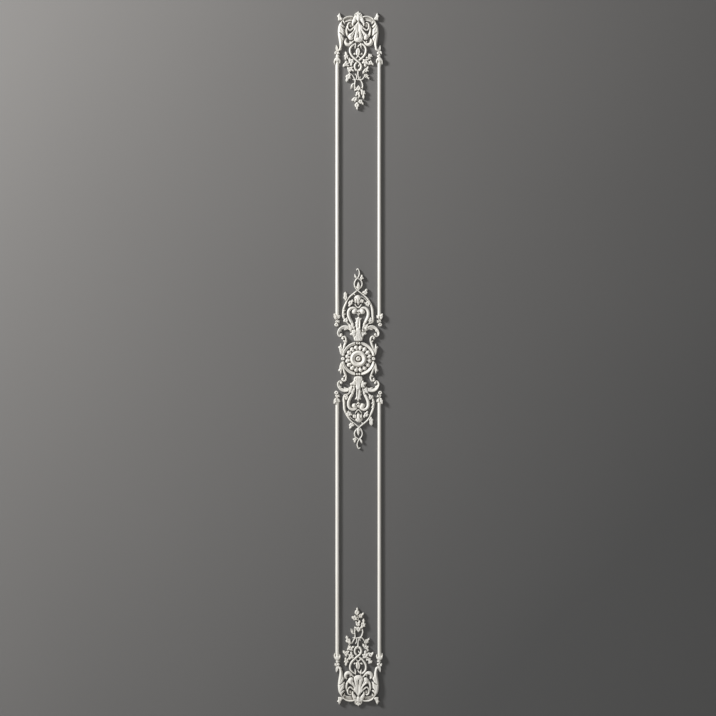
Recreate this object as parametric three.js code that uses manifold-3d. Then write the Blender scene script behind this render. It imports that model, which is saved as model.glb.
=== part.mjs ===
// A tall wall ornament in the French panelling manner: two mirrored end ornaments with a shell, a long
// centre ornament round a rosette, four half-round rods between them and four small finials on the
// inner ends of the rods. Everything is a relief with a flat back on the wall plane, y = 0, and faces
// -Y. Sizes are millimetres, +Z is up and the origin is on the wall behind the rosette.
import * as THREE from "three";
import { mergeVertices } from "three/addons/utils/BufferGeometryUtils.js";
import Module from "manifold-3d";

const wasm = await Module();
wasm.setup();

// Driving dimensions.
const PANEL_HEIGHT = 2604; // crest tip to crest tip
const END_HEIGHT = 369; // an end ornament, crest tip to lowest leaf tip
const CENTRE_HEIGHT = 676; // the centre ornament, tendril tip to tendril tip
const END_RELIEF = 15; // depth of an end ornament at its shell
const CENTRE_RELIEF = 18; // depth of the centre ornament at its rosette
const ROD_SPACING = 158; // between the axes of the two rods of a pair
const ROD_WIDTH = 13.5;
const ROD_DEPTH = 8.5;
const ROD_CHEEK = 2; // straight part of a rod's sides, next to the wall
const ROD_FACETS = 6;
const SOCKET_DEPTH = 5; // how far a rod goes into a calyx
const FIT_GAP = 0.3; // round a rod in its calyx
const CALYX_WALL = 3; // of a calyx beside its rod
const CALYX_ROOF = 4; // of a calyx over its rod

// The sizes and levels at which the carvings below are drawn. Each is scaled to its own height and
// relief, and both across to the rods. Levels are from the shell's root, and from the rosette.
const DRAWN_SPACING = 158;
const END_DRAWN = { height: 369, relief: 15, crest: 37, mouth: -149 };
const CENTRE_DRAWN = { height: 676, relief: 18, finial: 164 };

const PLASTER = { color: 0xe6e1d6, roughness: 0.62, metalness: 0.0 };

// Cross sections, as [share of the half width, share of the height] from one edge to the other. They
// run on a little behind the wall plane, where every carving is cut off flat.
const RIDGE = [[-1.1, -0.1], [0, 1], [1.1, -0.1]];
const BODY = [[-1.05, -0.1], [-0.7, 0.75], [0, 1], [0.7, 0.75], [1.05, -0.1]];
const CHANNEL = [[-1.03, -0.1], [-0.8, 1], [0, 0.5], [0.8, 1], [1.03, -0.1]];
const TWO_RIBS = [[-1.02, -0.1], [-0.85, 0.75], [-0.45, 1], [0, 0.6], [0.45, 1], [0.85, 0.75], [1.02, -0.1]];
const BEHIND = 1; // how far bosses and leaves run on behind the wall plane

// The drawn rosette, from its middle outwards.
const BUTTON_RADIUS = 10;
const DISH_RADIUS = 23;
const RAISED_RADIUS = 33;
const EYE_RING = 37; // radius of the circle of pierced eyes between the pairs of petals
const EYE_RADIUS = 3.4;
const PETAL_PAIRS = 8;
const PETAL_REACH = 50;
const PETAL_HALF = 7; // half width of a petal at its round tip
const PETAL_LEAN = 1.6; // degrees by which the petals of a pair lean together

const { degToRad, lerp } = THREE.MathUtils;

/** A closed solid from a three.js geometry, with its outside made to face outwards. */
function solidFrom(geometry) {
  geometry.deleteAttribute("normal");
  geometry.deleteAttribute("uv");
  const merged = mergeVertices(geometry, 1e-3);
  const places = merged.attributes.position;
  const corner = (n) => new THREE.Vector3().fromBufferAttribute(places, n);
  const whole = [];
  let volume = 0;
  for (let i = 0; i < merged.index.count; i += 3) {
    const [a, b, c] = merged.index.array.slice(i, i + 3);
    if (a === b || b === c || c === a) continue;
    whole.push(a, b, c);
    volume += corner(a).dot(corner(b).cross(corner(c)));
  }
  if (volume < 0) whole.reverse();
  return new wasm.Manifold(
    new wasm.Mesh({ numProp: 3, vertProperties: places.array, triVerts: new Uint32Array(whole) }),
  );
}

/** A tube through rings of points that all follow one section, closed where an end is blunt. */
function tubeThrough(rings, section) {
  const points = [];
  for (let i = 0; i + 1 < rings.length; i++) {
    section.forEach((_, j) => {
      const k = (j + 1) % section.length;
      const [a, b, c, d] = [rings[i][j], rings[i][k], rings[i + 1][k], rings[i + 1][j]];
      points.push(...a, ...b, ...c, ...a, ...c, ...d);
    });
  }
  const outline = section.map(([u, k]) => new THREE.Vector2(u, k));
  const faces = THREE.ShapeUtils.triangulateShape(outline, []);
  const forwards = THREE.ShapeUtils.area(outline) > 0;
  for (const [ring, turned] of [[rings[0], forwards], [rings.at(-1), !forwards]]) {
    const blunt = Math.hypot(ring[0][0] - ring.at(-1)[0], ring[0][2] - ring.at(-1)[2]) > 1e-3;
    if (!blunt) continue;
    for (const face of faces) {
      if (turned) face.reverse();
      points.push(...face.flatMap((n) => ring[n]));
      if (turned) face.reverse();
    }
  }
  return new THREE.BufferGeometry().setAttribute("position", new THREE.Float32BufferAttribute(points, 3));
}

/** A length of rod between two levels, grown all round by a clearance. */
function rodGeometry(x, low, high, grow = 0) {
  const half = ROD_WIDTH / 2 + grow;
  const round = ROD_DEPTH - ROD_CHEEK + grow;
  const shape = new THREE.Shape();
  shape.moveTo(-half, grow);
  for (let i = 0; i <= ROD_FACETS; i++) {
    const angle = Math.PI * (1 - i / ROD_FACETS);
    shape.lineTo(half * Math.cos(angle), -ROD_CHEEK - round * Math.sin(angle));
  }
  shape.lineTo(half, grow);
  return new THREE.ExtrudeGeometry(shape, { depth: high - low, bevelEnabled: false }).translate(x, 0, low);
}

/** A mesh in the one material, from a solid. */
function meshFrom(name, solid) {
  const made = solid.getMesh();
  const geometry = new THREE.BufferGeometry()
    .setAttribute("position", new THREE.BufferAttribute(made.vertProperties, 3))
    .setIndex(new THREE.BufferAttribute(made.triVerts, 1));
  const mesh = new THREE.Mesh(geometry, new THREE.MeshStandardMaterial(PLASTER));
  mesh.name = name;
  return mesh;
}

/** One carving, drawn as reliefs on the wall plane that grow together. */
class Carving {
  constructor(drawn, height, relief) {
    this.across = ROD_SPACING / DRAWN_SPACING;
    this.up = height / drawn.height;
    this.relief = relief / drawn.relief;
    this.side = 1;
    this.turn = 1;
    this.solid = null;
  }

  /** Draws the same thing mirrored on the right and as written, on the left. */
  bothSides(draw) {
    for (this.side of [-1, 1]) draw();
  }

  /** Draws the same thing turned half round the origin and as written, above it. */
  bothHalves(draw) {
    for (this.turn of [-1, 1]) draw();
  }

  place(x, z) {
    return new THREE.Vector3(x * this.side * this.turn * this.across, 0, z * this.turn * this.up);
  }

  join(geometry) {
    const solid = solidFrom(geometry);
    this.solid = this.solid ? this.solid.add(solid) : solid;
  }

  cut(geometry) {
    this.solid = this.solid.subtract(solidFrom(geometry));
  }

  /** Cuts everything off flat at the wall plane. */
  flatten() {
    const size = PANEL_HEIGHT;
    this.cut(new THREE.BoxGeometry(size, size, size).translate(0, size / 2, 0));
  }

  /** A ribbon along a smooth line of stations [x, z, half width, height]; a half width of 0 is a point. */
  ribbon(stations, section = RIDGE, steps = stations.length - 1) {
    const line = new THREE.CatmullRomCurve3(stations.map(([x, z]) => this.place(x, z)), false, "centripetal");
    const rings = Array.from({ length: steps + 1 }, (_, i) => {
      const along = (i / steps) * (stations.length - 1);
      const before = Math.min(Math.floor(along), stations.length - 2);
      const blend = (n) => {
        return lerp(stations[before][n], stations[before + 1][n], along - before);
      };
      const half = blend(2);
      const height = blend(3) * this.relief;
      const at = line.getPoint(i / steps);
      const to = line.getTangent(i / steps);
      return section.map(([u, k]) => {
        const out = u * half;
        return [at.x - to.z * out * this.across, -k * height, at.z + to.x * out * this.up];
      });
    });
    this.join(tubeThrough(rings, section));
  }

  /** A round boss, from a profile of [radius, height] that starts and ends on its axis. */
  boss(x, z, profile, sides = 6) {
    const shape = new THREE.LatheGeometry(
      profile.map(([r, height]) => new THREE.Vector2(r, height ? height * this.relief : -BEHIND)),
      sides,
    ).scale(this.across, 1, this.up);
    const { x: across, z: up } = this.place(x, z);
    this.join(shape.rotateX(Math.PI).translate(across, 0, up));
  }

  bead(x, z, radius, height, sides = 6) {
    this.boss(x, z, [[0, 0], [radius, 0], [radius * 0.75, height * 0.75], [0, height]], sides);
  }

  /** A relief that rises from an outline round a heart to a peak over the heart. */
  peak(heart, outline, height) {
    const ring = outline.map(([x, z]) => this.place(x, z).setY(BEHIND));
    const top = this.place(...heart).setY(-height * this.relief);
    const under = this.place(...heart).setY(BEHIND);
    const points = ring.flatMap((a, i) => {
      const b = ring[(i + 1) % ring.length];
      return [top, a, b, a, under, b];
    });
    this.join(new THREE.BufferGeometry().setFromPoints(points));
  }

  /** A leaf of several pointed blades round a heart, as in ivy; its notches are half a width out. */
  sprig(heart, tips, half, height) {
    const round = tips
      .map(([x, z]) => ({ tip: [x, z], angle: Math.atan2(z - heart[1], x - heart[0]) }))
      .sort((a, b) => a.angle - b.angle);
    const outline = round.flatMap(({ tip, angle }, i) => {
      const after = i + 1 < round.length ? round[i + 1].angle : round[0].angle + 2 * Math.PI;
      const notch = (angle + after) / 2;
      return [tip, [heart[0] + half * Math.cos(notch), heart[1] + half * Math.sin(notch)]];
    });
    this.peak(heart, outline, height);
  }

  /** A single pointed leaf from its base to its tip, widest a third of the way along. */
  leaf(base, tip, half, height) {
    const along = new THREE.Vector2(tip[0] - base[0], tip[1] - base[1]);
    const length = along.length();
    const at = (share, across) => [
      base[0] + along.x * share - (along.y * across) / length,
      base[1] + along.y * share + (along.x * across) / length,
    ];
    this.peak(at(0.35, 0), [at(0, half * 0.5), at(0.4, half), tip, at(0.4, -half), at(0, -half * 0.5)], height);
  }

  /** Stations that wind round an eye, from one angle and radius to another. */
  winding(eye, angles, radii, half, height, turns) {
    return Array.from({ length: turns + 1 }, (_, i) => {
      const angle = degToRad(lerp(...angles, i / turns));
      const radius = lerp(...radii, i / turns);
      return [eye[0] + radius * Math.cos(angle), eye[1] + radius * Math.sin(angle), half, height];
    });
  }
}

/** The upper end ornament; its origin is the root of the shell, and it hangs down from a crest. */
class EndOrnament extends Carving {
  constructor() {
    super(END_DRAWN, END_HEIGHT, END_RELIEF);
    this.bothSides(() => {
      this.arch();
      this.acanthus();
      this.shellRim();
      this.shellLobes();
      this.boatLeaf();
      this.calyx();
    });
    this.crest();
    this.shellMiddle();
    this.loops();
    this.bud();
    this.ivyLeft();
    this.ivyRight();
    this.knot();
    this.drop();
    this.flatten();
    this.bothSides(() => this.cutSocket());
  }

  /** Two small loops with a leaf between, over the shell. */
  crest() {
    this.bothSides(() => {
      this.ribbon([[-4, 5, 2, 6], [-15, 12, 2, 6], [-15, 28, 2, 6], [-3, 29, 2, 7]], RIDGE, 4);
    });
    this.sprig([0, 13], [[0, 37], [-14, 15], [14, 15], [-6, 0], [6, 0]], 6, 12);
  }

  arch() {
    this.ribbon([[-15, 12, 6, 9], [-26, 14.5, 9.6, 10], [-41, 13, 10.4, 11], [-54, 3, 8.4, 12],
      [-61, -7, 6, 12]], CHANNEL);
    this.sprig([-71, 16], [[-71, 33], [-80, 21], [-77, 5], [-56, 8]], 6, 9);
  }

  /** The leaf down each side: a long body with four blades that run down and inwards. */
  acanthus() {
    this.ribbon([[-59, 2, 5, 11], [-66, -14, 8.4, 13], [-69, -34, 9, 13], [-67, -62, 8, 12],
      [-65.5, -84, 6.6, 11], [-70, -106, 4, 9]]);
    this.leaf([-65, 2], [-49, -20], 6, 12);
    this.leaf([-68, -12], [-50, -32], 7, 12);
    this.leaf([-70, -28], [-49, -56], 8, 12);
    this.leaf([-69, -48], [-51, -69], 7, 11);
  }

  /** The strap from the crest to the shell's root, and the rim that curls over beside it. */
  shellRim() {
    this.ribbon([[-9, 16, 3, 10], [-20, 8, 4, 11], [-22, -6, 4, 12], [-11, -21, 2.6, 11]]);
    this.ribbon([[-23, -20, 3, 10], [-25, -9, 4.6, 11], [-37, -8, 5, 11], [-37, -25, 2.4, 10]]);
    this.leaf([-34, -8], [-46, -13], 4, 9);
  }

  shellLobes() {
    this.ribbon([[-12, -18, 3, 11], [-21, -27, 3.3, 12], [-32, -33.5, 3.4, 12], [-44, -24, 2.6, 11]]);
    this.ribbon([[-11, -27, 4, 11], [-24, -38, 6, 11], [-37, -41, 11, 12], [-47, -42, 0, 7]]);
    this.ribbon([[-7, -26, 3, 11], [-16, -42, 5, 12], [-26, -59, 8.4, 13], [-31, -70, 3, 8]]);
  }

  /** A smooth fan from the shell's root, and the ribbed middle lobe that swells at its lip. */
  shellMiddle() {
    this.ribbon([[0, -34, 8, 12], [0, -50, 11, 13], [0, -66, 16, 14], [0, -74, 12.5, 12],
      [0, -79, 5, 8]], TWO_RIBS);
    this.peak([0, -25], [[0, 5], [12, -14], [17, -27], [7, -38], [0, -42], [-7, -38], [-17, -27],
      [-12, -14]], 14.5);
  }

  boatLeaf() {
    this.ribbon([[-43.5, -65, 1, 7], [-48.5, -76, 6, 10], [-38, -87, 7.4, 11], [-25, -81, 5, 10],
      [-12, -68, 2, 8]]);
  }

  loops() {
    this.ribbon([[-10, -82, 2, 8], [-23, -91, 3.6, 9], [-31.5, -106, 4, 9.5], [-28, -123, 4, 9.5],
      [-16, -138, 4, 9.5], [-1, -151, 4, 10.5], [10.5, -163, 3.9, 10], [9, -178, 4, 9], [-1, -184.5, 4, 9]]);
    this.ribbon([[-1, -95.5, 2, 8], [6, -88, 3, 9], [19, -89, 3.8, 9.5], [28.4, -104, 4, 9.5],
      [25, -123, 4, 9.5], [12, -139, 4, 9], [-3, -152, 3.6, 8.5], [-13, -163, 3.6, 8.5],
      [-12, -178, 4.1, 9], [-1, -184.5, 4, 9]]);
    this.leaf([-7, -70], [-13.8, -105], 4, 9);
    this.leaf([7, -70], [12, -103.5], 4, 9);
    this.ribbon([[9, -160, 1.8, 7], [1.5, -165.5, 2.2, 8], [0.5, -170, 1.5, 7]]);
  }

  /** The bud inside the larger loop, on a cross stem with a bead at each end and a strap like a roof. */
  bud() {
    this.peak([-1.5, -114], [[-0.5, -100], [-7, -106], [-9, -116], [-6, -125], [-0.5, -132], [4, -125],
      [6, -116], [4.5, -106]], 11);
    this.ribbon([[-14, -122.5, 1.9, 7], [12.5, -121.5, 1.9, 7]]);
    this.bead(-14.4, -122.4, 4, 8, 5);
    this.bead(12.4, -121.4, 4, 8, 5);
    this.ribbon([[-12, -141, 2.2, 7.5], [0, -130, 2.3, 8.5], [12, -141, 2.2, 7.5]]);
  }

  ivyLeft() {
    this.sprig([-27.5, -150], [[-38, -136], [-16, -142], [-16.5, -153], [-27, -169], [-36, -158]], 7, 9);
    this.sprig([-45, -131], [[-48, -112], [-54, -127], [-48, -146], [-32, -150], [-36, -130]], 5.6, 10);
    this.sprig([-46, -160], [[-42.5, -147], [-58.5, -171], [-42, -170], [-33, -170.5], [-34, -157]], 6, 10);
    this.sprig([-30, -178], [[-43, -174], [-20, -170.5], [-14.5, -188]], 7.4, 10);
    this.sprig([-37.5, -208], [[-29, -195], [-48, -206], [-45.5, -227.5], [-31, -215]], 7, 10);
    this.ribbon([[-16, -138, 2, 7], [-27, -144, 2, 7], [-39, -162, 2, 7], [-38.5, -180, 2.2, 7],
      [-31, -198, 2.2, 7]]);
  }

  ivyRight() {
    this.sprig([27, -151], [[16, -141], [13, -157], [26.5, -173], [37, -163], [36, -142]], 7, 9);
    this.sprig([39, -137], [[50.5, -123.5], [47, -142], [30, -147], [29, -141]], 4.6, 10);
    this.sprig([46, -155], [[47, -146], [36, -149], [30, -162], [48, -163], [56.5, -166]], 6, 9);
    this.sprig([29, -182], [[38.5, -167.5], [27, -176], [15.5, -197], [28, -193], [39, -187.5]], 5.6, 10);
    this.sprig([31, -205], [[22, -198], [38, -199], [42.5, -218.5]], 5.6, 9);
    this.ribbon([[14, -139, 2, 7], [25, -148, 2, 7], [32.5, -170, 2.2, 7], [25, -203, 1.8, 7]]);
  }

  knot() {
    this.ribbon([[-31, -196, 2, 7], [-21, -203, 2.1, 8], [-13, -218, 2.4, 8], [-13.5, -238, 2.3, 8],
      [-14.5, -261, 0, 5]]);
    this.ribbon([[-10.5, -197.5, 1.5, 7], [-6, -208, 2.2, 8], [-10, -218.5, 2.2, 8], [-22, -219, 1, 7]]);
    this.ribbon([[-1, -184, 3, 8], [-0.5, -206, 2.5, 8], [5, -217.5, 2.5, 8.5], [15, -218, 2.4, 8.5],
      [28, -200, 1.8, 7.5]]);
    this.ribbon([[-9, -219, 2, 8], [9, -221, 2.2, 8], [16.4, -239, 2.7, 8], [14.5, -256, 0, 6]]);
    this.leaf([4, -218], [9, -205], 2.4, 8);
  }

  drop() {
    this.leaf([-12, -238], [-28, -253], 4, 8);
    this.sprig([0.5, -251], [[1, -239.5], [-15, -253], [-11, -262], [12, -262], [17, -252]], 7, 10);
    this.sprig([-1.5, -270], [[-10, -264], [-9.5, -282], [6, -285.5], [7, -264]], 6, 10);
    this.ribbon([[0, -254, 2.6, 8], [0, -284, 2.6, 7], [-3, -310, 2.4, 7]]);
    this.sprig([18, -267], [[3, -252], [25, -260], [27.5, -273], [20, -293], [13.5, -277]], 6, 10);
    this.sprig([-13, -292], [[-25.5, -298], [-13, -284], [0, -285], [-3, -297], [-13, -303.5]], 6.6, 10);
    this.sprig([8, -301], [[-2, -303.5], [6, -292.5], [14, -293.5], [21, -313.5], [8, -310.5]], 5.6, 10);
    this.sprig([-5, -314], [[-4, -301], [-14, -317], [-3.7, -332], [3.5, -315]], 7, 11);
  }

  /** The turned stem with its drop leaf, and the bell that takes the outer end of a rod. */
  calyx() {
    const axis = -DRAWN_SPACING / 2;
    const bell = (ROD_WIDTH / 2 + CALYX_WALL) / this.across;
    const roof = (ROD_DEPTH + CALYX_ROOF) / this.relief;
    this.leaf([axis - 1, -113], [axis - 4.5, -88.5], 5.2, 9.5);
    this.ribbon([[axis + 11, -99, 4, 9], [axis + 4, -109, 5, 9], [axis + 2, -118, 8, 10],
      [axis + 1, -125.5, 4, 8], [axis + 1.5, -131, 7.6, 10], [axis, -136.5, 6, 9],
      [axis, -142, bell, roof], [axis, -150, bell, roof]]);
    this.leaf([axis - 4, -137], [axis - 11.5, -161], 5, 12);
    this.leaf([axis + 4, -137], [axis + 10, -157], 5, 12);
  }

  cutSocket() {
    const axis = (-this.side * ROD_SPACING) / 2;
    const floor = END_DRAWN.mouth * this.up + SOCKET_DEPTH + FIT_GAP;
    this.cut(rodGeometry(axis, floor - END_HEIGHT, floor, FIT_GAP));
  }

  /** How far the calyx mouths are below the crest. */
  get mouthDepth() {
    return (END_DRAWN.crest - END_DRAWN.mouth) * this.up;
  }
}

/** The centre ornament: its upper half, the same turned half round, and the rosette between. */
class CentreOrnament extends Carving {
  constructor() {
    super(CENTRE_DRAWN, CENTRE_HEIGHT, CENTRE_RELIEF);
    this.bothHalves(() => {
      this.vines();
      this.vineLeaves();
      this.rose();
      this.plume();
      this.ringBeads();
      this.bothSides(() => {
        this.heart();
        this.plumeLeaves();
        this.sideScroll();
        this.smallScroll();
        this.ringArc();
      });
    });
    this.rosette();
    this.flatten();
  }

  /** Two vines that cross over the heart. */
  vines() {
    this.ribbon([[-6, 333, 1.8, 6], [-1, 336.6, 2.2, 6], [4.2, 322, 2.5, 7], [-3, 303, 2.3, 8],
      [-14.4, 284, 2.4, 7.5], [-10, 265, 2.5, 7.5], [9, 247, 2.5, 8], [34, 225, 3.2, 8.5],
      [50, 192, 3.3, 8.5], [54.5, 154, 4.2, 9], [44, 134, 2.4, 8], [29, 118, 3, 8]]);
    this.ribbon([[-12.5, 311, 1.6, 7], [9, 294.5, 2.3, 7.5], [14.2, 279, 2.4, 7.5], [4.5, 263, 2.6, 8],
      [-17.5, 244.8, 2.8, 8.5], [-41, 221, 3, 8.5], [-55.5, 187, 3.3, 8.5], [-55.5, 152, 3.2, 8],
      [-42, 134.5, 2.4, 8], [-29, 118, 3, 8]]);
  }

  vineLeaves() {
    this.leaf([-6, 300], [-13.5, 319], 4, 9);
    this.sprig([12.5, 303], [[13.6, 316], [3, 303], [8, 293], [21.5, 301]], 4.6, 9);
    this.leaf([0, 258], [-0.4, 289], 6, 10);
    this.sprig([-48, 230], [[-49, 252], [-38, 226], [-45, 214], [-55.5, 226]], 6.2, 10);
    this.sprig([27, 249], [[33, 263], [14, 248.5], [18, 239], [29, 239], [36, 250]], 6, 10);
    this.leaf([-19, 244.5], [-10, 236], 2.6, 7);
    this.sprig([-46.5, 144], [[-41.5, 155], [-39, 134], [-57.5, 141]], 7, 10);
    this.sprig([44, 144.5], [[47.5, 156], [36, 143], [41, 132], [54, 139]], 6, 10);
  }

  /** The rose between the vines, with its leaves, and the strap that hangs it on the heart. */
  rose() {
    this.boss(-3, 223.4, [[0, 0], [14.4, 0], [13, 8], [8, 13], [0, 14]], 7);
    this.leaf([-6, 214], [-15, 202], 5, 10);
    this.leaf([-2, 218], [0, 189], 6, 10);
    this.sprig([14, 215.5], [[6, 216], [21, 227], [15, 206]], 5, 9);
    this.ribbon([[6, 231, 1.5, 7], [21, 227, 1.6, 8], [37, 214, 2, 8]]);
    this.sprig([-29, 209], [[-14, 220], [-49, 212], [-36.5, 195], [-23, 203]], 7.4, 10);
    this.sprig([35, 206.5], [[18, 212], [37, 217], [49, 206], [38, 194], [27, 200]], 7, 10);
    this.ribbon([[-14, 208, 2, 8], [-1, 189.5, 2.5, 9], [12, 208, 2, 8]]);
  }

  heart() {
    this.ribbon([[-9.5, 169, 2, 8], [-6, 182, 3, 9], [-19, 190, 4.8, 10.5], [-31, 186, 5, 10.5],
      [-37, 171, 5.2, 10.5], [-34.5, 154, 5.2, 10.5], [-25, 135, 5.1, 10.5], [-18, 110, 4, 11]]);
    this.bead(-16.6, 175.8, 8.6, 11);
  }

  /** The pendant between the volutes, the plume under it, and the cup that it stands in. */
  plume() {
    this.sprig([0, 176], [[-7, 178], [7, 178], [0, 190], [0, 161]], 4, 9);
    this.sprig([0, 146], [[-10.5, 155], [-1, 159], [9.5, 155]], 5, 11);
    this.ribbon([[0, 84, 8, 12], [0, 130, 8.4, 13], [0, 149, 5, 10]], BODY);
    this.ribbon([[0, 63.5, 10, 10], [0, 71, 15.6, 14], [0, 81, 16, 15.5], [0, 91, 10, 13.5]], BODY);
  }

  plumeLeaves() {
    for (const level of [140, 120]) this.leaf([-4, level - 16], [-13, level], 4, 11);
    this.leaf([-14, 110], [-37, 130], 7, 11);
    this.sprig([-21, 94], [[-33, 91], [-29.5, 107], [-10, 101], [-13, 74]], 7.6, 13);
  }

  sideScroll() {
    this.ribbon([[-20, 94, 4.6, 12], [-33, 113.5, 5.6, 12], [-50, 119, 6, 11.5], [-68, 111, 5.4, 11],
      [-74, 93, 4.4, 10], [-63.5, 88, 4, 10]], CHANNEL, 7);
    this.leaf([-38, 114], [-55, 106], 4.6, 9);
    this.leaf([-73, 112], [-61.5, 103.5], 5, 9);
  }

  /** The small scroll beside the ring, and the long leaf outside it. */
  smallScroll() {
    this.ribbon([[-58, 73.5, 3.4, 9], [-60, 81, 3, 9], [-51, 83, 3.2, 9], [-46, 72, 3.6, 9.5],
      [-55, 40, 4.6, 11], [-56, 10, 3.6, 11]]);
    this.ribbon([[-57, 8, 3, 11], [-64, 24, 8.4, 12], [-67, 42, 6, 11], [-66.5, 58, 0, 7]]);
    this.leaf([-66, 25], [-77, 45.5], 6, 9);
  }

  ringArc() {
    this.ribbon(this.winding([0, 0], [172, 101], [58.3, 58.3], 5, 12, 4), CHANNEL);
  }

  /** The double bead over the ring, on a low strap between two arcs, and the bead beside it. */
  ringBeads() {
    this.ribbon([[-14, 58, 2.6, 5], [14, 58, 2.6, 5]]);
    this.ribbon([[0, 46, 3, 5], [0, 67, 3, 6]]);
    this.peak([0, 58], [[-9, 58], [-4, 62.5], [4, 62.5], [9, 58], [4, 53.5], [-4, 53.5]], 12);
    this.bead(-57, 0, 8.4, 12, 6);
  }

  /** A button in a dish, a raised ring and pairs of petals, with an eye pierced in each pair. */
  rosette() {
    const hollow = (BUTTON_RADIUS + DISH_RADIUS) / 2;
    this.boss(0, 0, [[0, 0], [RAISED_RADIUS, 0], [RAISED_RADIUS * 0.86, 16], [hollow, 8], [BUTTON_RADIUS, 8],
       [BUTTON_RADIUS - 2, 16], [0, 18]], 12);
    const spread = 360 / PETAL_PAIRS;
    for (let pair = 0; pair < PETAL_PAIRS; pair++) {
      const middle = spread * (pair + 0.5);
      this.petal(degToRad(middle - spread / 4 + PETAL_LEAN));
      this.petal(degToRad(middle + spread / 4 - PETAL_LEAN));
    }
    for (let pair = 0; pair < PETAL_PAIRS; pair++) {
      const angle = degToRad(spread * (pair + 0.5));
      const eye = new THREE.CylinderGeometry(EYE_RADIUS, EYE_RADIUS, CENTRE_RELIEF * 4, 4);
      const at = this.place(EYE_RING * Math.cos(angle), EYE_RING * Math.sin(angle));
      this.cut(eye.scale(this.across, 1, this.up).translate(at.x, 0, at.z));
    }
    for (const side of [-1, 1]) this.ribbon([[side * 32, 0, 3, 6], [side * 56, 0, 3, 6]]);
  }

  /** A petal of the rosette: a narrow stem and a round tip. */
  petal(angle) {
    const at = (radius, across) => [
      radius * Math.cos(angle) - across * Math.sin(angle),
      radius * Math.sin(angle) + across * Math.cos(angle),
    ];
    const half = PETAL_HALF;
    const tip = PETAL_REACH - half;
    this.peak(at(tip, 0), [at(BUTTON_RADIUS, 0), at(tip, half * 1.15), at(PETAL_REACH, half * 0.5),
      at(PETAL_REACH, -half * 0.5), at(tip, -half * 1.15)], 12.5);
  }
}

/** A finial with a calyx that takes the inner end of a rod; its origin is in the calyx mouth. */
class Finial extends Carving {
  constructor() {
    super(CENTRE_DRAWN, CENTRE_HEIGHT, CENTRE_RELIEF);
    const bell = (ROD_WIDTH / 2 + CALYX_WALL) / this.across;
    const roof = (ROD_DEPTH + CALYX_ROOF) / this.relief;
    this.ribbon([[0, 0, bell, roof], [0, -8, bell, roof], [-1, -17, 4.6, 10], [-2, -25, 4, 9],
      [-3, -33, 3, 8]], BODY);
    this.leaf([-3, -18], [-12, 7], 8, 12);
    this.leaf([-1, -19], [10.8, -1], 6, 11);
    this.sprig([2.5, -24.5], [[-3, -22], [10.5, -22], [7, -30]], 3.4, 10);
    this.ribbon(this.winding([-3, -36.6], [80, 410], [5.2, 4.8], 2.7, 9, 6));
    this.flatten();
    this.cut(rodGeometry(0, -SOCKET_DEPTH - FIT_GAP, ROD_SPACING, FIT_GAP));
  }

  /** The level of a calyx mouth above the rosette. */
  get mouthLevel() {
    return CENTRE_DRAWN.finial * this.up;
  }
}

const panel = new THREE.Group();
panel.name = "relief_panel";

const mirror = (solid, across, up) => solid.scale([across ? -1 : 1, 1, up ? -1 : 1]);
const drawnEnd = new EndOrnament();
const end = drawnEnd.solid.translate([0, 0, PANEL_HEIGHT / 2 - END_DRAWN.crest * drawnEnd.up]);
panel.add(meshFrom("top_ornament", end));
panel.add(meshFrom("bottom_ornament", mirror(end, false, true)));
panel.add(meshFrom("centre_ornament", new CentreOrnament().solid));

const drawnFinial = new Finial();
const finial = drawnFinial.solid.translate([-ROD_SPACING / 2, 0, drawnFinial.mouthLevel]);
const rodFoot = drawnFinial.mouthLevel - SOCKET_DEPTH;
const rodTop = PANEL_HEIGHT / 2 - drawnEnd.mouthDepth + SOCKET_DEPTH;
const rod = solidFrom(rodGeometry(-ROD_SPACING / 2, rodFoot, rodTop));
for (const level of ["upper", "lower"]) {
  for (const side of ["left", "right"]) {
    const [across, up] = [side === "right", level === "lower"];
    panel.add(meshFrom(`rod_${level}_${side}`, mirror(rod, across, up)));
    panel.add(meshFrom(`finial_${level}_${side}`, mirror(finial, across, up)));
  }
}

export default panel;
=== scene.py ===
"""A tall ornamental wall relief: two end ornaments, a rosette centre, half-round rods and finials.

Sizes are in millimetres, and those of the studio and of the finished meshes in metres.
"""

import logging
import math
from collections.abc import Callable, Sequence
from dataclasses import dataclass, field
from enum import Enum
from typing import ClassVar

import bmesh
import bpy
import numpy as np
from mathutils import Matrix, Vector
from mathutils.bvhtree import BVHTree


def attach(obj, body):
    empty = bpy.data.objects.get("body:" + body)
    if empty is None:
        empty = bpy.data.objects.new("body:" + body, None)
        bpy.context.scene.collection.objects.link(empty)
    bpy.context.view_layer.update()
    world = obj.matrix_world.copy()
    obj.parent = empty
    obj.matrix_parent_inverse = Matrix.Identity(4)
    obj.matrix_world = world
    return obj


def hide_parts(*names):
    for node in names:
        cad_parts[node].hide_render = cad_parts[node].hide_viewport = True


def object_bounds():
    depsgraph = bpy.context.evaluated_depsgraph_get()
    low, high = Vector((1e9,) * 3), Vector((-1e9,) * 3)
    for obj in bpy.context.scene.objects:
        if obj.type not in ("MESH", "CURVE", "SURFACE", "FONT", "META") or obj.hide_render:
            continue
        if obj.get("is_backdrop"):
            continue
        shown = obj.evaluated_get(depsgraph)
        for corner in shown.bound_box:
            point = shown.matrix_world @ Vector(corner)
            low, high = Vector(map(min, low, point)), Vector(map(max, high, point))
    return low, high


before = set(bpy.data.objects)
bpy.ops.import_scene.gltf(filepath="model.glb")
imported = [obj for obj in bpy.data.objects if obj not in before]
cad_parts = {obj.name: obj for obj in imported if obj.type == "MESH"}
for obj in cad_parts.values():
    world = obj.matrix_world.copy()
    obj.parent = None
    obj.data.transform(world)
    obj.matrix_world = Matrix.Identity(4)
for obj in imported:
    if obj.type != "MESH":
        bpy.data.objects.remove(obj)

log = logging.getLogger("relief_panel")

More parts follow.
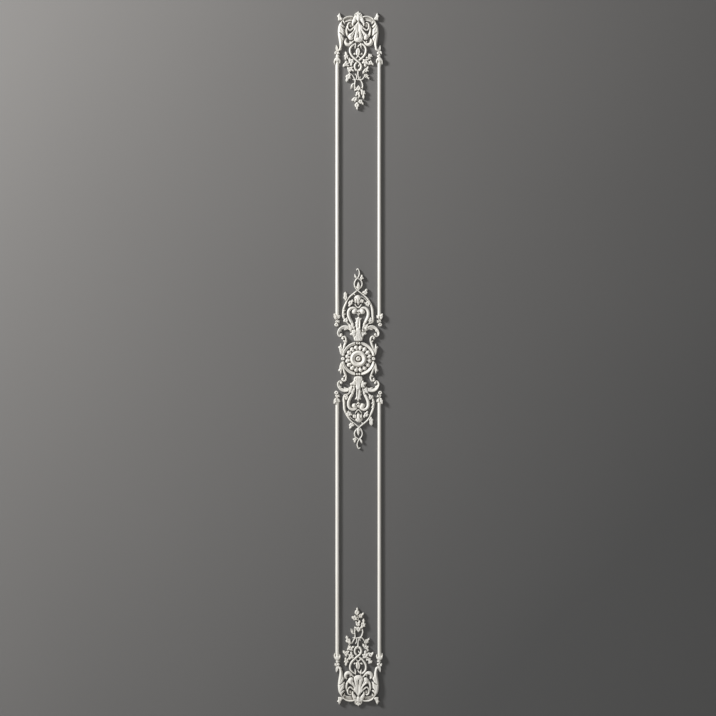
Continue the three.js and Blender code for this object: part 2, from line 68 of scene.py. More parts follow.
MM = 0.001
PANEL_HEIGHT = 2604.0
ROD_AXIS = 79.0
ROD_WIDTH = 13.5
ROD_DEPTH = 8.5
CALYX_MOUTH = -149.0
CREST = 37.0
END_ROOT = PANEL_HEIGHT / 2 - CREST
FINIAL_MOUTH = 164.0
ROD_TUCK = 4.6
PHOTO_PIXELS = 716
PIXEL = 3.75

Numbers = np.ndarray
Point = tuple[float, float]
Station = tuple[float, float, float, float]
Size = tuple[float, float, float]
Place = tuple[float, float, float]
Colour = tuple[float, float, float]


class Section(Enum):
    """Shapes across a stroke, as (share of the half width, share of the rise) from middle to edge."""

    ROUND = ((0, 1.0), (0.3, 0.97), (0.55, 0.86), (0.8, 0.6), (0.93, 0.32), (1, 0.1))
    STRAP = ((0, 1.0), (0.5, 0.95), (0.75, 0.78), (0.9, 0.45), (1, 0.15))
    CHANNEL = (
        (-1, 0.3), (-0.88, 0.92), (-0.72, 1), (-0.54, 0.7), (-0.34, 0.2), (0.55, 0.14), (0.8, 0.4), (1, 0.1)
    )
    RIM = ((-1, 0.3), (-0.85, 0.85), (-0.6, 1), (-0.3, 0.95), (0, 0.74), (0.4, 0.66), (0.8, 0.6), (1, 0.15))
    BLADE = ((0, 0.66), (0.1, 0.78), (0.35, 1.0), (0.65, 0.88), (0.88, 0.5), (1, 0.12))

    def rise(self, across: Numbers) -> Numbers:
        """Share of the full rise at a share of the half width.

        Args:
            across: Signed share of the half width; a section written from -1 has two unlike sides.

        Returns:
            The share of the rise, from 0 to 1.
        """
        marks, shares = zip(*self.value, strict=True)
        return np.interp(across if marks[0] < 0 else np.abs(across), marks, shares)


@dataclass(frozen=True)
class Casting:
    """Sizes that every cast relief shares, in millimetres.

    Attributes:
        step: Grid pitch.
        draft_step: Grid pitch while trying things; not used.
        edge: Height of the upright wall round a form.
        soften: Spread of the softening by paint.
        blend: Reach of the fillet where forms meet.
        seam_place: How far outside a form's outline its seam is deepest.
        seam_width: Width of the seam.
        crease_width: Width of a leaf's crease.
        crease_depth: Depth of a crease at its start.
        crease_fade: How much shallower it is at its end.
        recess_reach: How far round it a recess looks for higher ground, for its painted shade and dust.
        recess_depth: How far below that ground it is fully dark with painted shade and dust.
        recess_start: Share of painted shade and dust on level ground.
        low_height: Height under which low ground gets more painted shade and dust.
        low_shade_and_dust: Share of painted shade and dust that low ground adds.
    """

    step: float = 0.62
    draft_step: float = 1.1
    edge: float = 2.4
    soften: float = 0.55
    blend: float = 0.7
    seam_place: float = 0.8
    seam_width: float = 1.1
    crease_width: float = 0.85
    crease_depth: float = 1.5
    crease_fade: float = 1.0
    # Painted shade, with some dust, darkens recesses and low ground; these set where and how much.
    recess_reach: float = 4.0
    recess_depth: float = 5.0
    recess_start: float = 0.2
    low_height: float = 9.5
    low_shade_and_dust: float = 0.35

    def pitch(self) -> float:
        """Gives the grid pitch of the relief."""
        return self.step


def smooth_path(stations: Sequence[Station], per_span: int = 8) -> Numbers:
    """Samples a smooth line through stations, spaced by their chords.

    Args:
        stations: Places, half widths and heights along the line.
        per_span: Samples in each span.

    Returns:
        One row a sample: x, z, half width, height.
    """
    knots = np.array(stations, float)
    if len(knots) == 2:
        share = np.linspace(0, 1, per_span + 1)[:, None]
        return knots[0] + (knots[1] - knots[0]) * share
    chord = np.sqrt(np.maximum(np.hypot(*np.diff(knots[:, :2], axis=0).T), 1e-6))[:, None]
    slope = np.diff(knots, axis=0) / chord
    inner = (slope[:-1] * chord[1:] + slope[1:] * chord[:-1]) / (chord[:-1] + chord[1:])
    tangent = np.vstack([slope[:1], inner, slope[-1:]])
    share = np.linspace(0, 1, per_span, endpoint=False)[:, None]
    rows = []
    for i in range(len(knots) - 1):
        near, far, lift = tangent[i] * chord[i], tangent[i + 1] * chord[i], knots[i + 1] - knots[i]
        square, cube = 3 * lift - 2 * near - far, near + far - 2 * lift
        rows.append(knots[i] + near * share + square * share**2 + cube * share**3)
    path = np.vstack([*rows, knots[-1:]])
    path[:, 2] = np.maximum(path[:, 2], 0)
    return path


def mirrored(half: Sequence[Point]) -> list[Point]:
    """Closes half an outline with its mirror image.

    Args:
        half: The points on one side, with those on the axis.

    Returns:
        The whole outline.
    """
    return [*half, *((-x, z) for x, z in reversed(half) if x)]


def blur(values: Numbers, cells: float) -> Numbers:
    """Softens a grid of values with a Gaussian.

    Args:
        values: The grid.
        cells: Spread, in cells.

    Returns:
        The softened grid.
    """
    reach = max(1, int(3 * cells))
    weights = np.exp(-0.5 * (np.arange(-reach, reach + 1) / cells) ** 2)
    weights /= weights.sum()
    for axis in (0, 1):
        pad = [(reach, reach) if a == axis else (0, 0) for a in (0, 1)]
        wide = np.pad(values, pad)
        span = values.shape[axis]
        values = sum(w * wide.take(range(k, k + span), axis) for k, w in enumerate(weights))
    return values


def add_object(name: str, data: bpy.types.ID) -> bpy.types.Object:
    """Puts an object in the scene.

    Args:
        name: Its name.
        data: Its mesh, light or camera.

    Returns:
        The object.
    """
    made = bpy.data.objects.new(name, data)
    bpy.context.scene.collection.objects.link(made)
    return made


def add_node(tree: bpy.types.NodeTree, kind: str, links: dict, settings: dict) -> bpy.types.Node:
    """Adds a node to a geometry tree or a shader.

    Args:
        tree: The tree.
        kind: Its full type.
        links: Sockets, shader values or plain values for its inputs, by name or place.
        settings: Properties of the node.

    Returns:
        The node.
    """
    made = tree.nodes.new(kind)
    for key, value in settings.items():
        setattr(made, key, value)
    for key, value in links.items():
        plug = value.socket if isinstance(value, Value) else value
        if isinstance(plug, bpy.types.NodeSocket):
            tree.links.new(plug, made.inputs[key])
        else:
            made.inputs[key].default_value = plug
    return made


@dataclass
class Relief:
    """A carved relief on the wall, kept as heights and cover over a grid and skinned at the end."""

    low: Point
    high: Point
    casting: Casting = field(default_factory=Casting)

    OUTSIDE: ClassVar = -9.0
    GROOVE_FLOOR: ClassVar = 0.7
    FOOT_SHARE: ClassVar = 1.3
    NARROW_TURN: ClassVar = 2.6
    NARROW_NOTCH: ClassVar = 1.2
    WIDE_NOTCH: ClassVar = 0.95
    BELL: ClassVar = ((0, 1), (0.6, 0.97), (0.85, 0.84), (0.95, 0.5), (1, 0.25))
    BOSS: ClassVar = ((0, 1), (0.5, 0.88), (0.8, 0.6), (0.95, 0.3), (1, 0.12))
    BULB: ClassVar = ((0, 1), (0.3, 0.97), (0.55, 0.88), (0.75, 0.7), (0.9, 0.42), (1, 0.08))

    def __post_init__(self) -> None:
        """Lays out the grid."""
        pitch = self.casting.pitch()
        self.x, self.z = (
            np.arange(round(low / pitch), round(high / pitch) + 1) * pitch
            for low, high in zip(self.low, self.high, strict=True)
        )
        self.cover = np.full((len(self.x), len(self.z)), self.OUTSIDE)
        self.height = np.zeros_like(self.cover)
        self.side = 1
        self.pitch = pitch

    def both_sides(self, draw: Callable[[], None]) -> None:
        """Draws the same thing on the left, as written, and mirrored on the right.

        Args:
            draw: What to draw.
        """
        for self.side in (-1, 1):
            draw()

    def rim(self, height: float | Numbers) -> float | Numbers:
        """Works out the height of a form's wall, which is never over half the form."""
        return np.minimum(self.casting.edge, height * 0.5)

    def window(self, low: Point, high: Point) -> tuple[slice, slice, Numbers, Numbers]:
        """The part of the grid round a box.

        Args:
            low: Lowest x and z.
            high: Highest x and z.

        Returns:
            The two slices and the grid of places in them.
        """
        i, k = np.searchsorted(self.x, (low[0], high[0]))
        j, m = np.searchsorted(self.z, (low[1], high[1]))
        rows, columns = slice(max(i, 0), k), slice(max(j, 0), m)
        places = np.meshgrid(self.x[rows], self.z[columns], indexing="ij")
        return rows, columns, places[0], places[1]

    def lay(self, rows: slice, columns: slice, cover: Numbers, height: Numbers, over: float = 0) -> None:
        """Grows a new form together with what is there.

        Args:
            rows: Grid rows of the form.
            columns: Grid columns of the form.
            cover: Distance inside the form's outline.
            height: Height of the form.
            over: How deep the seam is that it presses into what it lies on, as a share.
        """
        c = self.casting
        if over:
            self.height[rows, columns] *= 1 - over * np.exp(-(((cover + c.seam_place) / c.seam_width) ** 2))
        near = cover > -2 * self.pitch
        old = self.height[rows, columns]
        overlap = np.maximum(c.blend - np.abs(old - height), 0) / c.blend
        joined = np.maximum(old, height) + overlap**2 * c.blend / 4
        self.height[rows, columns] = np.where(near, np.where(old > 0, joined, height), old)
        self.cover[rows, columns] = np.maximum(self.cover[rows, columns], cover)

    def trace(self, stations: Sequence[Station]) -> tuple[slice, slice, Numbers, Numbers, Numbers]:
        """Finds where every grid place near a line stands to it.

        Args:
            stations: The line.

        Returns:
            The two slices, cover, share of the half width across, height.
        """
        path = smooth_path([(s[0] * self.side, *s[1:]) for s in stations])
        reach = path[:, 2].max() + 3 * self.pitch
        low, high = path[:, :2].min(0) - reach, path[:, :2].max(0) + reach
        rows, columns, x, z = self.window(tuple(low), tuple(high))
        cover = np.full(x.shape, -1e9)
        across, height = np.zeros_like(x), np.zeros_like(x)
        for i in range(len(path) - 1):
            (ax, az, aw, ah), (bx, bz, bw, bh) = path[i], path[i + 1]
            dx, dz = bx - ax, bz - az
            share = np.clip(((x - ax) * dx + (z - az) * dz) / max(dx * dx + dz * dz, 1e-9), 0, 1)
            ox, oz = x - ax - share * dx, z - az - share * dz
            far, half = np.hypot(ox, oz), aw + (bw - aw) * share
            nearer = half - far > cover
            cover = np.where(nearer, half - far, cover)
            hand = np.sign(dx * oz - dz * ox) * self.side
            across = np.where(nearer, hand * np.minimum(far / np.maximum(half, 0.3), 1), across)
            height = np.where(nearer, ah + (bh - ah) * share, height)
        return rows, columns, cover, across, height

    def stroke(
        self,
        stations: Sequence[Station],
        section: Section = Section.ROUND,
        over: float = 0,
    ) -> None:
        """Lays a strap, stem or scroll along a line.

        Args:
            stations: Places, half widths and heights along the line.
            section: Shape across it.
            over: How deep the seam is that it presses into what it lies on, as a share.
        """
        rows, columns, cover, across, height = self.trace(stations)
        edge = self.rim(height)
        height = edge + (height - edge) * section.rise(across)
        foot = np.minimum(height, edge * self.FOOT_SHARE)
        self.lay(rows, columns, cover, np.where(cover < 0, foot, height), over)

    def groove(self, stations: Sequence[Station]) -> None:
        """Cuts a groove along a line; the stations' heights are its depths.

        Args:
            stations: Places, half widths and depths along the line.
        """
        rows, columns, cover, across, depth = self.trace(stations)
        cut = depth * np.where(cover > 0, 1 - across**2, 0)
        floor = self.casting.edge * self.GROOVE_FLOOR
        self.height[rows, columns] = np.maximum(self.height[rows, columns] - cut, floor)

    def pierce(self, stations: Sequence[Station]) -> None:
        """Cuts right through along a line.

        Args:
            stations: Places and half widths along the line.
        """
        rows, columns, cover, *_ = self.trace(stations)
        self.cover[rows, columns] = np.minimum(self.cover[rows, columns], -cover)

    def leaf(
        self,
        base: Point,
        tip: Point,
        half: float,
        height: float,
        bend: float = 0.0,
        over: float = 0.3,
    ) -> None:
        """Lays a single pointed leaf from its base to its tip.

        Args:
            base: Where it starts.
            tip: Where it ends.
            half: Greatest half width.
            height: Greatest height.
            bend: Sideways bow, as a share of its length.
            over: How deep the seam is that it presses into what it lies on, as a share.
        """
        (ax, az), (bx, bz) = base, tip
        dx, dz = bx - ax, bz - az
        stations = []
        for t in np.linspace(0, 1, 13):
            bow = 4 * t * (1 - t) * bend
            wide = float(np.interp(t, (0, 0.18, 0.42, 0.66, 0.85, 1), (0.35, 0.8, 1, 0.72, 0.32, 0)))
            lift = float(np.interp(t, (0, 0.35, 0.8, 1), (0.8, 1, 0.88, 0.6)))
            stations.append((ax + dx * t - dz * bow, az + dz * t + dx * bow, half * wide, height * lift))
        self.stroke(stations, Section.BLADE, over)

    def shape(
        self,
        outline: Sequence[Point],
        height: float,
        rise: float = 3.2,
        ribs: Sequence[tuple[Point, Point]] = (),
        over: float = 0.35,
    ) -> None:
        """Lays a form with a drawn outline, rounded to its edge and creased along its ribs.

        Args:
            outline: Its outline.
            height: Its height.
            rise: How far in from the edge it reaches that height.
            ribs: Lines of its creases.
            over: How deep the seam is that it presses into what it lies on, as a share.
        """
        c = self.casting
        ring = np.array(outline) * (self.side, 1)
        reach = 3 * self.pitch
        rows, columns, x, z = self.window(tuple(ring.min(0) - reach), tuple(ring.max(0) + reach))
        inside = np.zeros(x.shape, bool)
        far = np.full(x.shape, 1e9)
        for a, b in zip(ring, np.roll(ring, -1, axis=0), strict=True):
            far = np.minimum(far, self.away(x, z, a, b)[0])
            if a[1] != b[1]:
                crossing = a[0] + (z - a[1]) * (b[0] - a[0]) / (b[1] - a[1])
                inside ^= ((a[1] > z) != (b[1] > z)) & (x < crossing)
        cover = np.where(inside, far, -far)
        share = np.clip(cover / rise, 0, 1)
        edge = self.rim(height)
        form = edge + (height - edge) * np.sqrt(1 - (1 - share) ** 2)
        for start, end in ribs:
            off, along = self.away(x, z, np.array(start) * (self.side, 1), np.array(end) * (self.side, 1))
            form -= np.exp(-((off / c.crease_width) ** 2)) * (c.crease_depth - c.crease_fade * along) * share
        self.lay(rows, columns, cover, form, over)

    @staticmethod
    def away(x: Numbers, z: Numbers, start: Numbers, end: Numbers) -> tuple[Numbers, Numbers]:
        """Distance of places from a straight line.

        Args:
            x: Places across.
            z: Places up.
            start: Start of the line.
            end: End of the line.

        Returns:
            The distance, and the share along the line.
        """
        run = end - start
        along = np.clip(((x - start[0]) * run[0] + (z - start[1]) * run[1]) / max(run @ run, 1e-9), 0, 1)
        return np.hypot(x - start[0] - along * run[0], z - start[1] - along * run[1]), along

    def foliage(
        self, heart: Point, tips: Sequence[Point], notch: float, height: float, swell: float = 0.2
    ) -> None:
        """Lays a leaf of several pointed lobes round a heart, creased along each lobe.

        Args:
            heart: Where the lobes meet.
            tips: Where they end.
            notch: How far from the heart the notches between them are.
            height: Its height.
            swell: How far the sides of a lobe bulge, as a share of their length.
        """
        middle = np.array(heart, float)
        points = sorted((np.array(tip, float) for tip in tips), key=lambda p: math.atan2(*(p - middle)[::-1]))
        outline = []
        for here, after in zip(points, points[1:] + points[:1], strict=True):
            first, second = (math.atan2(*(p - middle)[::-1]) for p in (here, after))
            turn = (second - first) % (2 * math.pi)
            deep = notch * (self.NARROW_NOTCH if turn < self.NARROW_TURN else self.WIDE_NOTCH)
            halfway = first + turn / 2
            low = middle + deep * np.array((math.cos(halfway), math.sin(halfway)))
            outline.append(here)
            for end in (here, after):
                run = end - low
                normal = np.array((-run[1], run[0]))
                normal *= np.sign(normal @ (low + run / 2 - middle)) or 1
                outline.append(low + run / 2 + normal * swell)
                if end is here:
                    outline.append(low)
        self.shape(outline, height, 3.0, [(heart, tuple(p)) for p in points])

    def dome(
        self,
        x: float,
        z: float,
        across: float,
        up: float,
        height: float,
        profile: Sequence[Point] = BOSS,
        over: float = 0,
    ) -> None:
        """Lays a round or oval boss.

        Args:
            x: Centre across.
            z: Centre up.
            across: Half its width.
            up: Half its height on the wall.
            height: How far it stands out.
            profile: Share of its rise at shares of its radius.
            over: How deep the seam is that it presses into what it lies on, as a share.
        """
        x *= self.side
        reach = 3 * self.pitch
        low, high = (x - across - reach, z - up - reach), (x + across + reach, z + up + reach)
        rows, columns, gx, gz = self.window(low, high)
        share = np.hypot((gx - x) / across, (gz - z) / up)
        marks, rises = zip(*profile, strict=True)
        edge = self.rim(height)
        form = edge + (height - edge) * np.interp(share, marks, rises)
        self.lay(rows, columns, (1 - share) * min(across, up), form, over)

    def stamp(self, mesh: bpy.types.Mesh) -> None:
        """Lays the front of a mesh that stands on the wall plane, found by looking at it square on.

        Args:
            mesh: The mesh, in metres.
        """
        tree = BVHTree.FromPolygons([v.co for v in mesh.vertices], [p.vertices for p in mesh.polygons])
        places = np.array([v.co for v in mesh.vertices]) / MM
        low, high = places.min(0), places.max(0)
        rows, columns, x, z = self.window((low[0], low[2]), (high[0], high[2]))
        height = np.zeros_like(x)
        for i, j in np.ndindex(x.shape):
            hit = tree.ray_cast(Vector((x[i, j] * MM, -1.0, z[i, j] * MM)), Vector((0, 1, 0)))[0]
            height[i, j] = -hit.y / MM if hit else 0
        edge = self.casting.edge
        cover = np.where(height > edge * 0.5, 2 * self.pitch, self.OUTSIDE)
        self.lay(rows, columns, cover, np.maximum(height, edge))

    def turned_too(self) -> None:
        """Joins the relief with itself turned half round the origin."""
        self.height = np.maximum(self.height, self.height[::-1, ::-1])
        self.cover = np.maximum(self.cover, self.cover[::-1, ::-1])

    def soften(self) -> None:
        """Softens the carving as its paint does, and finds its recesses for painted shade and dust."""
        c = self.casting
        cells = c.soften / self.pitch
        solid = (self.cover > -2 * self.pitch).astype(float)
        weight = np.maximum(blur(solid, cells), 1e-3)
        self.height = np.where(solid > 0, blur(self.height * solid, cells) / weight, 0)
        # Painted shade and dust: darker where the form lies below the ground round it, and where it is low.
        wide = blur(self.height, c.recess_reach / self.pitch)
        low = np.clip((c.low_height - self.height) / c.recess_depth, 0, 1)
        self.shade_and_dust = np.clip((wide - self.height) / c.recess_depth + c.recess_start + c.low_shade_and_dust * low, 0, 1)


@dataclass
class Skin:
    """Turns a relief into one closed mesh with a flat back."""

    relief: Relief
    origin: Point = (0, 0)
    flip: Point = (1, 1)
    sharp: float = 48.0

    def crossings(self, axis: int) -> tuple[Numbers, Numbers]:
        """Finds where the outline crosses the grid lines along an axis.

        Args:
            axis: 0 for lines along x, 1 for lines along z.

        Returns:
            Which grid edges are crossed, and the share along each.
        """
        cover = self.relief.cover
        near = cover[:-1] if axis == 0 else cover[:, :-1]
        far = cover[1:] if axis == 0 else cover[:, 1:]
        near, far = np.clip(near, -2, 2), np.clip(far, -2, 2)
        crossed = (near > 0) != (far > 0)
        share = np.where(crossed, near / np.where(crossed, near - far, 1), 0)
        return crossed, np.clip(share, 0.1, 0.9)

    def corners(self) -> tuple[Numbers, Numbers, Numbers, Numbers]:
        """Numbers and places the corners of the front.

        Returns:
            The corner numbers at grid places and on crossed edges along x and z, and their values:
            x, z, height, painted shade and dust.
        """
        r = self.relief
        inside = r.cover > 0
        grid = np.stack([*np.meshgrid(r.x, r.z, indexing="ij"), r.height, r.shade_and_dust], axis=-1)
        number = np.full(inside.shape, -1)
        number[inside] = np.arange(inside.sum())
        values = [grid[inside]]
        count = int(inside.sum())
        numbers = [number]
        for axis in (0, 1):
            crossed, share = self.crossings(axis)
            near = grid[:-1] if axis == 0 else grid[:, :-1]
            far = grid[1:] if axis == 0 else grid[:, 1:]
            ids = np.full(crossed.shape, -1)
            ids[crossed] = count + np.arange(crossed.sum())
            count += int(crossed.sum())
            values.append((near + (far - near) * share[..., None])[crossed])
            numbers.append(ids)
        return (*numbers, np.vstack(values))

    def faces(self, number: Numbers, on_x: Numbers, on_z: Numbers) -> tuple[list, list]:
        """Makes the front faces and the outline's edges.

        Args:
            number: Corner numbers at grid places.
            on_x: Corner numbers on edges along x.
            on_z: Corner numbers on edges along z.

        Returns:
            The faces, and the outline's edges as pairs of corners.
        """
        low, right = (number[:-1, :-1], on_x[:, :-1]), (number[1:, :-1], on_z[1:, :])
        high, left = (number[1:, 1:], on_x[:, 1:]), (number[:-1, 1:], on_z[:-1, :])
        ring = np.stack([*low, *right, *high, *left], axis=-1)
        inside = (ring[..., 0::2] >= 0).sum(-1)
        faces = ring[inside == 4][:, 0::2].tolist()
        outline = []
        for cell in ring[(inside > 0) & (inside < 4)].tolist():
            corners = [(k, c) for k, c in enumerate(cell) if c >= 0]
            faces.append([c for _, c in corners])
            for (k, a), (m, b) in zip(corners, corners[1:] + corners[:1], strict=True):
                if k % 2 and m % 2 and cell[(k + 1) % 8] < 0:
                    outline.append((a, b))
        return faces, outline

    def build(self, name: str, paint: bpy.types.Material) -> bpy.types.Object:
        """Makes the mesh.

        Args:
            name: Name of the piece.
            paint: Its material.

        Returns:
            The piece.
        """
        number, on_x, on_z, values = self.corners()
        faces, outline = self.faces(number, on_x, on_z)
        flip_x, flip_z = self.flip
        front = np.stack([values[:, 0] * flip_x, -values[:, 2], values[:, 1] * flip_z], axis=-1)
        rim = sorted({a for a, _ in outline})
        behind = {a: len(front) + k for k, a in enumerate(rim)}
        back = front[rim] * (1, 0, 1)
        walls = [(b, a, behind[a], behind[b]) for a, b in outline]
        places = np.vstack([front, back]) * MM + (self.origin[0] * MM, 0, self.origin[1] * MM)
        mesh = bpy.data.meshes.new(name)
        mesh.from_pydata(places.tolist(), [], [*faces, *walls])
        self.close(mesh)
        # Share of painted shade and dust at each corner, half on the walls round the outline.
        layer = mesh.attributes.new("shade_and_dust", "FLOAT", "POINT")
        layer.data.foreach_set("value", np.append(values[:, 3], np.full(len(rim), 0.5)).astype(np.float32))
        mesh.materials.append(paint)
        mesh.set_sharp_from_angle(angle=math.radians(self.sharp))
        return add_object(name, mesh)

    @staticmethod
    def close(mesh: bpy.types.Mesh) -> None:
        """Fills the open back of a mesh flat and makes every face look outwards.

        Args:
            mesh: The mesh.
        """
        work = bmesh.new()
        work.from_mesh(mesh)
        bmesh.ops.triangulate(work, faces=[f for f in work.faces if len(f.verts) > 4])
        rim = [edge for edge in work.edges if edge.is_boundary]
        bmesh.ops.triangle_fill(work, use_beauty=True, edges=rim, normal=Vector((0, 1, 0)))
        bmesh.ops.recalc_face_normals(work, faces=work.faces)
        if work.calc_volume(signed=True) < 0:
            bmesh.ops.reverse_faces(work, faces=work.faces)
        work.to_mesh(mesh)
        work.free()
        mesh.shade_smooth()


@dataclass
class EndOrnament:
    """The cast ornament at each end of the panel, drawn from the root of its shell."""

    relief: Relief = field(default_factory=lambda: Relief((-97, -338), (97, 42)))

    def draw(self) -> None:
        """Draws the whole ornament."""
        r = self.relief
        r.both_sides(self.arch)
        r.both_sides(self.acanthus)
        self.crest()
        r.both_sides(self.shell_lobes)
        self.shell_middle()
        r.both_sides(self.shell_straps)
        r.both_sides(self.boat_leaf)
        self.loops()
        self.ivy_left()
        self.ivy_right()
        self.knot()
        self.drop()
        r.both_sides(self.calyx)
        r.soften()

    def crest(self) -> None:
        """Draws the small ribbed palmette over the shell."""
        r = self.relief
        edge = mirrored(
            [(13, 11), (16.6, 19), (14, 22.5), (14.6, 27), (11, 28.4), (8.6, 33), (4.4, 32.6), (0, 38.6)]
        )
        notches = edge[2:-2:2]
        r.shape(edge, 7.2, rise=2.6, ribs=[((0, 12), notch) for notch in notches])
        r.shape(mirrored([(0, 23), (10, 21), (20, 16), (17, 4), (9, 2), (0, 5)]), 10, rise=5, over=0.1)
        for side in (-1, 1):
            r.leaf((side * 4, 9), (side * 17, 16), 3.6, 9.5, over=0.1)
            r.groove([(side * 7, 23, 1, 1), (side * 9.4, 25, 2, 4), (side * 10.6, 26.4, 1, 2)])
        r.stroke([(0, 4, 6, 11), (0, 11, 7.4, 11.5), (0, 18, 6.4, 9.5), (0, 25, 3.6, 7.6)], over=0.1)

    def arch(self) -> None:
        """Draws the channelled arch and the corner leaf on it."""
        r = self.relief
        r.shape([(-71, 32), (-66, 24), (-64, 17), (-59, 12), (-56, 5), (-65, 3), (-76, 3), (-75.4, 12),
                 (-80, 20), (-75.5, 24)], 11, rise=4, ribs=[((-68, 8), (-71, 30))])
        r.stroke([(-15, 9.6, 7.8, 9.5), (-24, 10.4, 10, 10.5), (-35, 10.4, 10, 11), (-46, 7.2, 9.2, 11.5),
                  (-54, 1, 7.2, 12), (-60, -6, 4.6, 12)], Section.CHANNEL)

    def acanthus(self) -> None:
        """Draws the toothed leaf down the side."""
        r = self.relief
        r.leaf((-58, 4), (-50, -12), 3.4, 9.5)
        r.shape([(-59, 5), (-66, -3), (-71.5, -10), (-75, -18), (-76.6, -28), (-77.3, -38), (-76.8, -50),
                 (-75.4, -60), (-73.8, -70), (-72, -80), (-71, -90), (-72, -103), (-70, -108), (-65, -106),
                 (-61.5, -98), (-59, -88), (-58, -80), (-56, -74), (-52, -67), (-53.6, -61), (-57, -55.5),
                 (-49.8, -54.5), (-51.6, -46), (-51.8, -38), (-52.5, -31), (-55, -26), (-49.6, -21.5),
                 (-53, -15), (-58.5, -9), (-60, -2)], 14, rise=7.0)
        for cut in (
            [(-62, -2, 0.8, 3), (-58.5, -10, 1.3, 8), (-51, -18, 1.6, 9)],
            [(-67, -15, 0.7, 2), (-61, -21, 1.5, 7), (-56, -25.5, 2, 10)],
            [(-74, -41.5, 0.8, 3), (-67, -44.5, 1.6, 8), (-60, -50, 2, 11)],
            [(-70, -22, 0.6, 1), (-66, -32, 1.1, 2.6), (-58, -40, 0.8, 2)],
            [(-66, -56, 0.7, 1.5), (-62, -70, 1.4, 4), (-61.5, -88, 0.8, 2)],
        ):
            r.groove(cut)
        r.pierce([(-59, -24.6, 0.6, 1), (-55, -27, 1.7, 1), (-49, -29, 2, 1)])
        r.pierce([(-61, -49.6, 0.6, 1), (-56, -54, 1.6, 1), (-49, -58.5, 2, 1)])

    def shell_lobes(self) -> None:
        """Draws the outer lobe at one side of the shell and the hook round its eye."""
        r = self.relief
        r.dome(-31, -13, 7.5, 10, 6)
        r.stroke([(-42, -20, 3.4, 11), (-44.6, -31, 4, 12.5), (-44, -42, 4.6, 13), (-40.5, -51, 5, 13),
                  (-37, -57, 4.4, 12)])
        r.stroke([(-12, -16, 2.6, 13.5), (-18, -24, 3.2, 13.5), (-24, -30, 3.4, 13.5),
                  (-31, -33.6, 3.4, 13.5), (-37, -29.5, 3.1, 13), (-39.6, -22, 3, 12.5), (-39.6, -14, 3, 12),
                  (-36.5, -8, 3, 11.5), (-31, -5, 2.6, 11), (-26.5, -8, 1.6, 9)], over=0.3)
        r.pierce([(-30, -28.4, 2.6, 1), (-31.4, -22.6, 1.8, 1)])
        r.groove([(-40.6, -28, 0.8, 3), (-39, -35, 1.8, 7), (-35.5, -40, 1.2, 7)])

    def shell_middle(self) -> None:
        """Draws the fan of the shell: one scalloped form, swelling at its lobes and cut by deep flutes."""
        r = self.relief
        edge = [(0, 2), (-4, -3), (-8.5, -9), (-13, -15), (-17.5, -22), (-18, -31), (-25, -40.5),
                (-32, -45.5), (-37.5, -50), (-39.5, -57), (-38, -64), (-32.5, -70), (-25.5, -71.5),
                (-20, -69), (-18, -64.5), (-17, -70), (-13.5, -75), (-8, -78.5), (0, -79.5)]
        r.shape(mirrored(edge), 12.5, rise=4.5)
        r.dome(0, -68, 15, 10, 14.5, Relief.BULB)
        for side in (-1, 1):
            r.dome(side * 28.5, -60, 9, 10, 14.6, Relief.BULB)
            r.stroke([(side * 11, -29, 2.6, 13), (side * 18, -38.5, 3.2, 13.8), (side * 25, -46.5, 4, 14.4),
                      (side * 31, -53, 4.6, 14.4)])
            r.stroke([(side * 6, -33, 1.8, 13), (side * 7.4, -46, 2.6, 14.2), (side * 8.4, -60, 3.2, 14.6)])
            for flute in (
                [(18, -32, 1, 5), (24, -39.5, 1.8, 11), (30.5, -43, 2.8, 13), (34, -43, 2, 8)],
                [(10, -34, 0.8, 3), (13, -43, 1.3, 8), (15.5, -50, 2, 12.5), (18.2, -57, 3, 13),
                 (18.8, -62, 2, 11), (19.4, -69, 1.4, 9), (19.6, -75, 1.2, 8)],
                [(3, -35, 0.6, 2), (4, -47, 0.9, 4), (4.6, -58, 0.6, 2.4)],
                [(22, -48, 0.6, 2), (25.6, -57, 0.9, 3), (26.4, -64, 0.6, 2)],
            ):
                r.groove([(side * x, *rest) for x, *rest in flute])
        r.groove([(0, -41, 0.8, 5), (0, -50, 1.6, 13), (0.4, -60, 1.9, 13)])
        r.groove([(-1, -8, 3, 0.6), (0, -20, 6, 1.8), (0, -33, 5, 1.4)])

    def shell_straps(self) -> None:
        """Draws the strap from the crest down beside the root of the shell."""
        self.relief.shape(
            [(-18, 13), (-11, 10), (-6, 5), (-8.5, -1), (-16.5, -10), (-18, -17), (-21.5, -20), (-25, -12),
             (-25, -3), (-22, 6)],
            12.5, rise=4.5, over=0,
        )

    def boat_leaf(self) -> None:
        """Draws the boat-shaped leaf under the shell."""
        r = self.relief
        boat = [(-45, -66, 2.4, 8), (-48, -71, 5.4, 10.5), (-47.6, -79, 7.2, 11.5), (-42.5, -85, 8, 12),
                (-34.5, -87, 7, 11), (-27.5, -83, 5, 10.5), (-21, -76, 2.6, 9.5), (-13, -69, 2, 8)]
        r.leaf((-29, -84), (-30, -72), 3.2, 9, 0.1)
        r.stroke(boat, Section.ROUND)
        r.groove([(-45, -69, 1, 3), (-43.5, -77, 2, 4.5), (-38, -80.5, 2, 5), (-32, -79, 1, 3)])

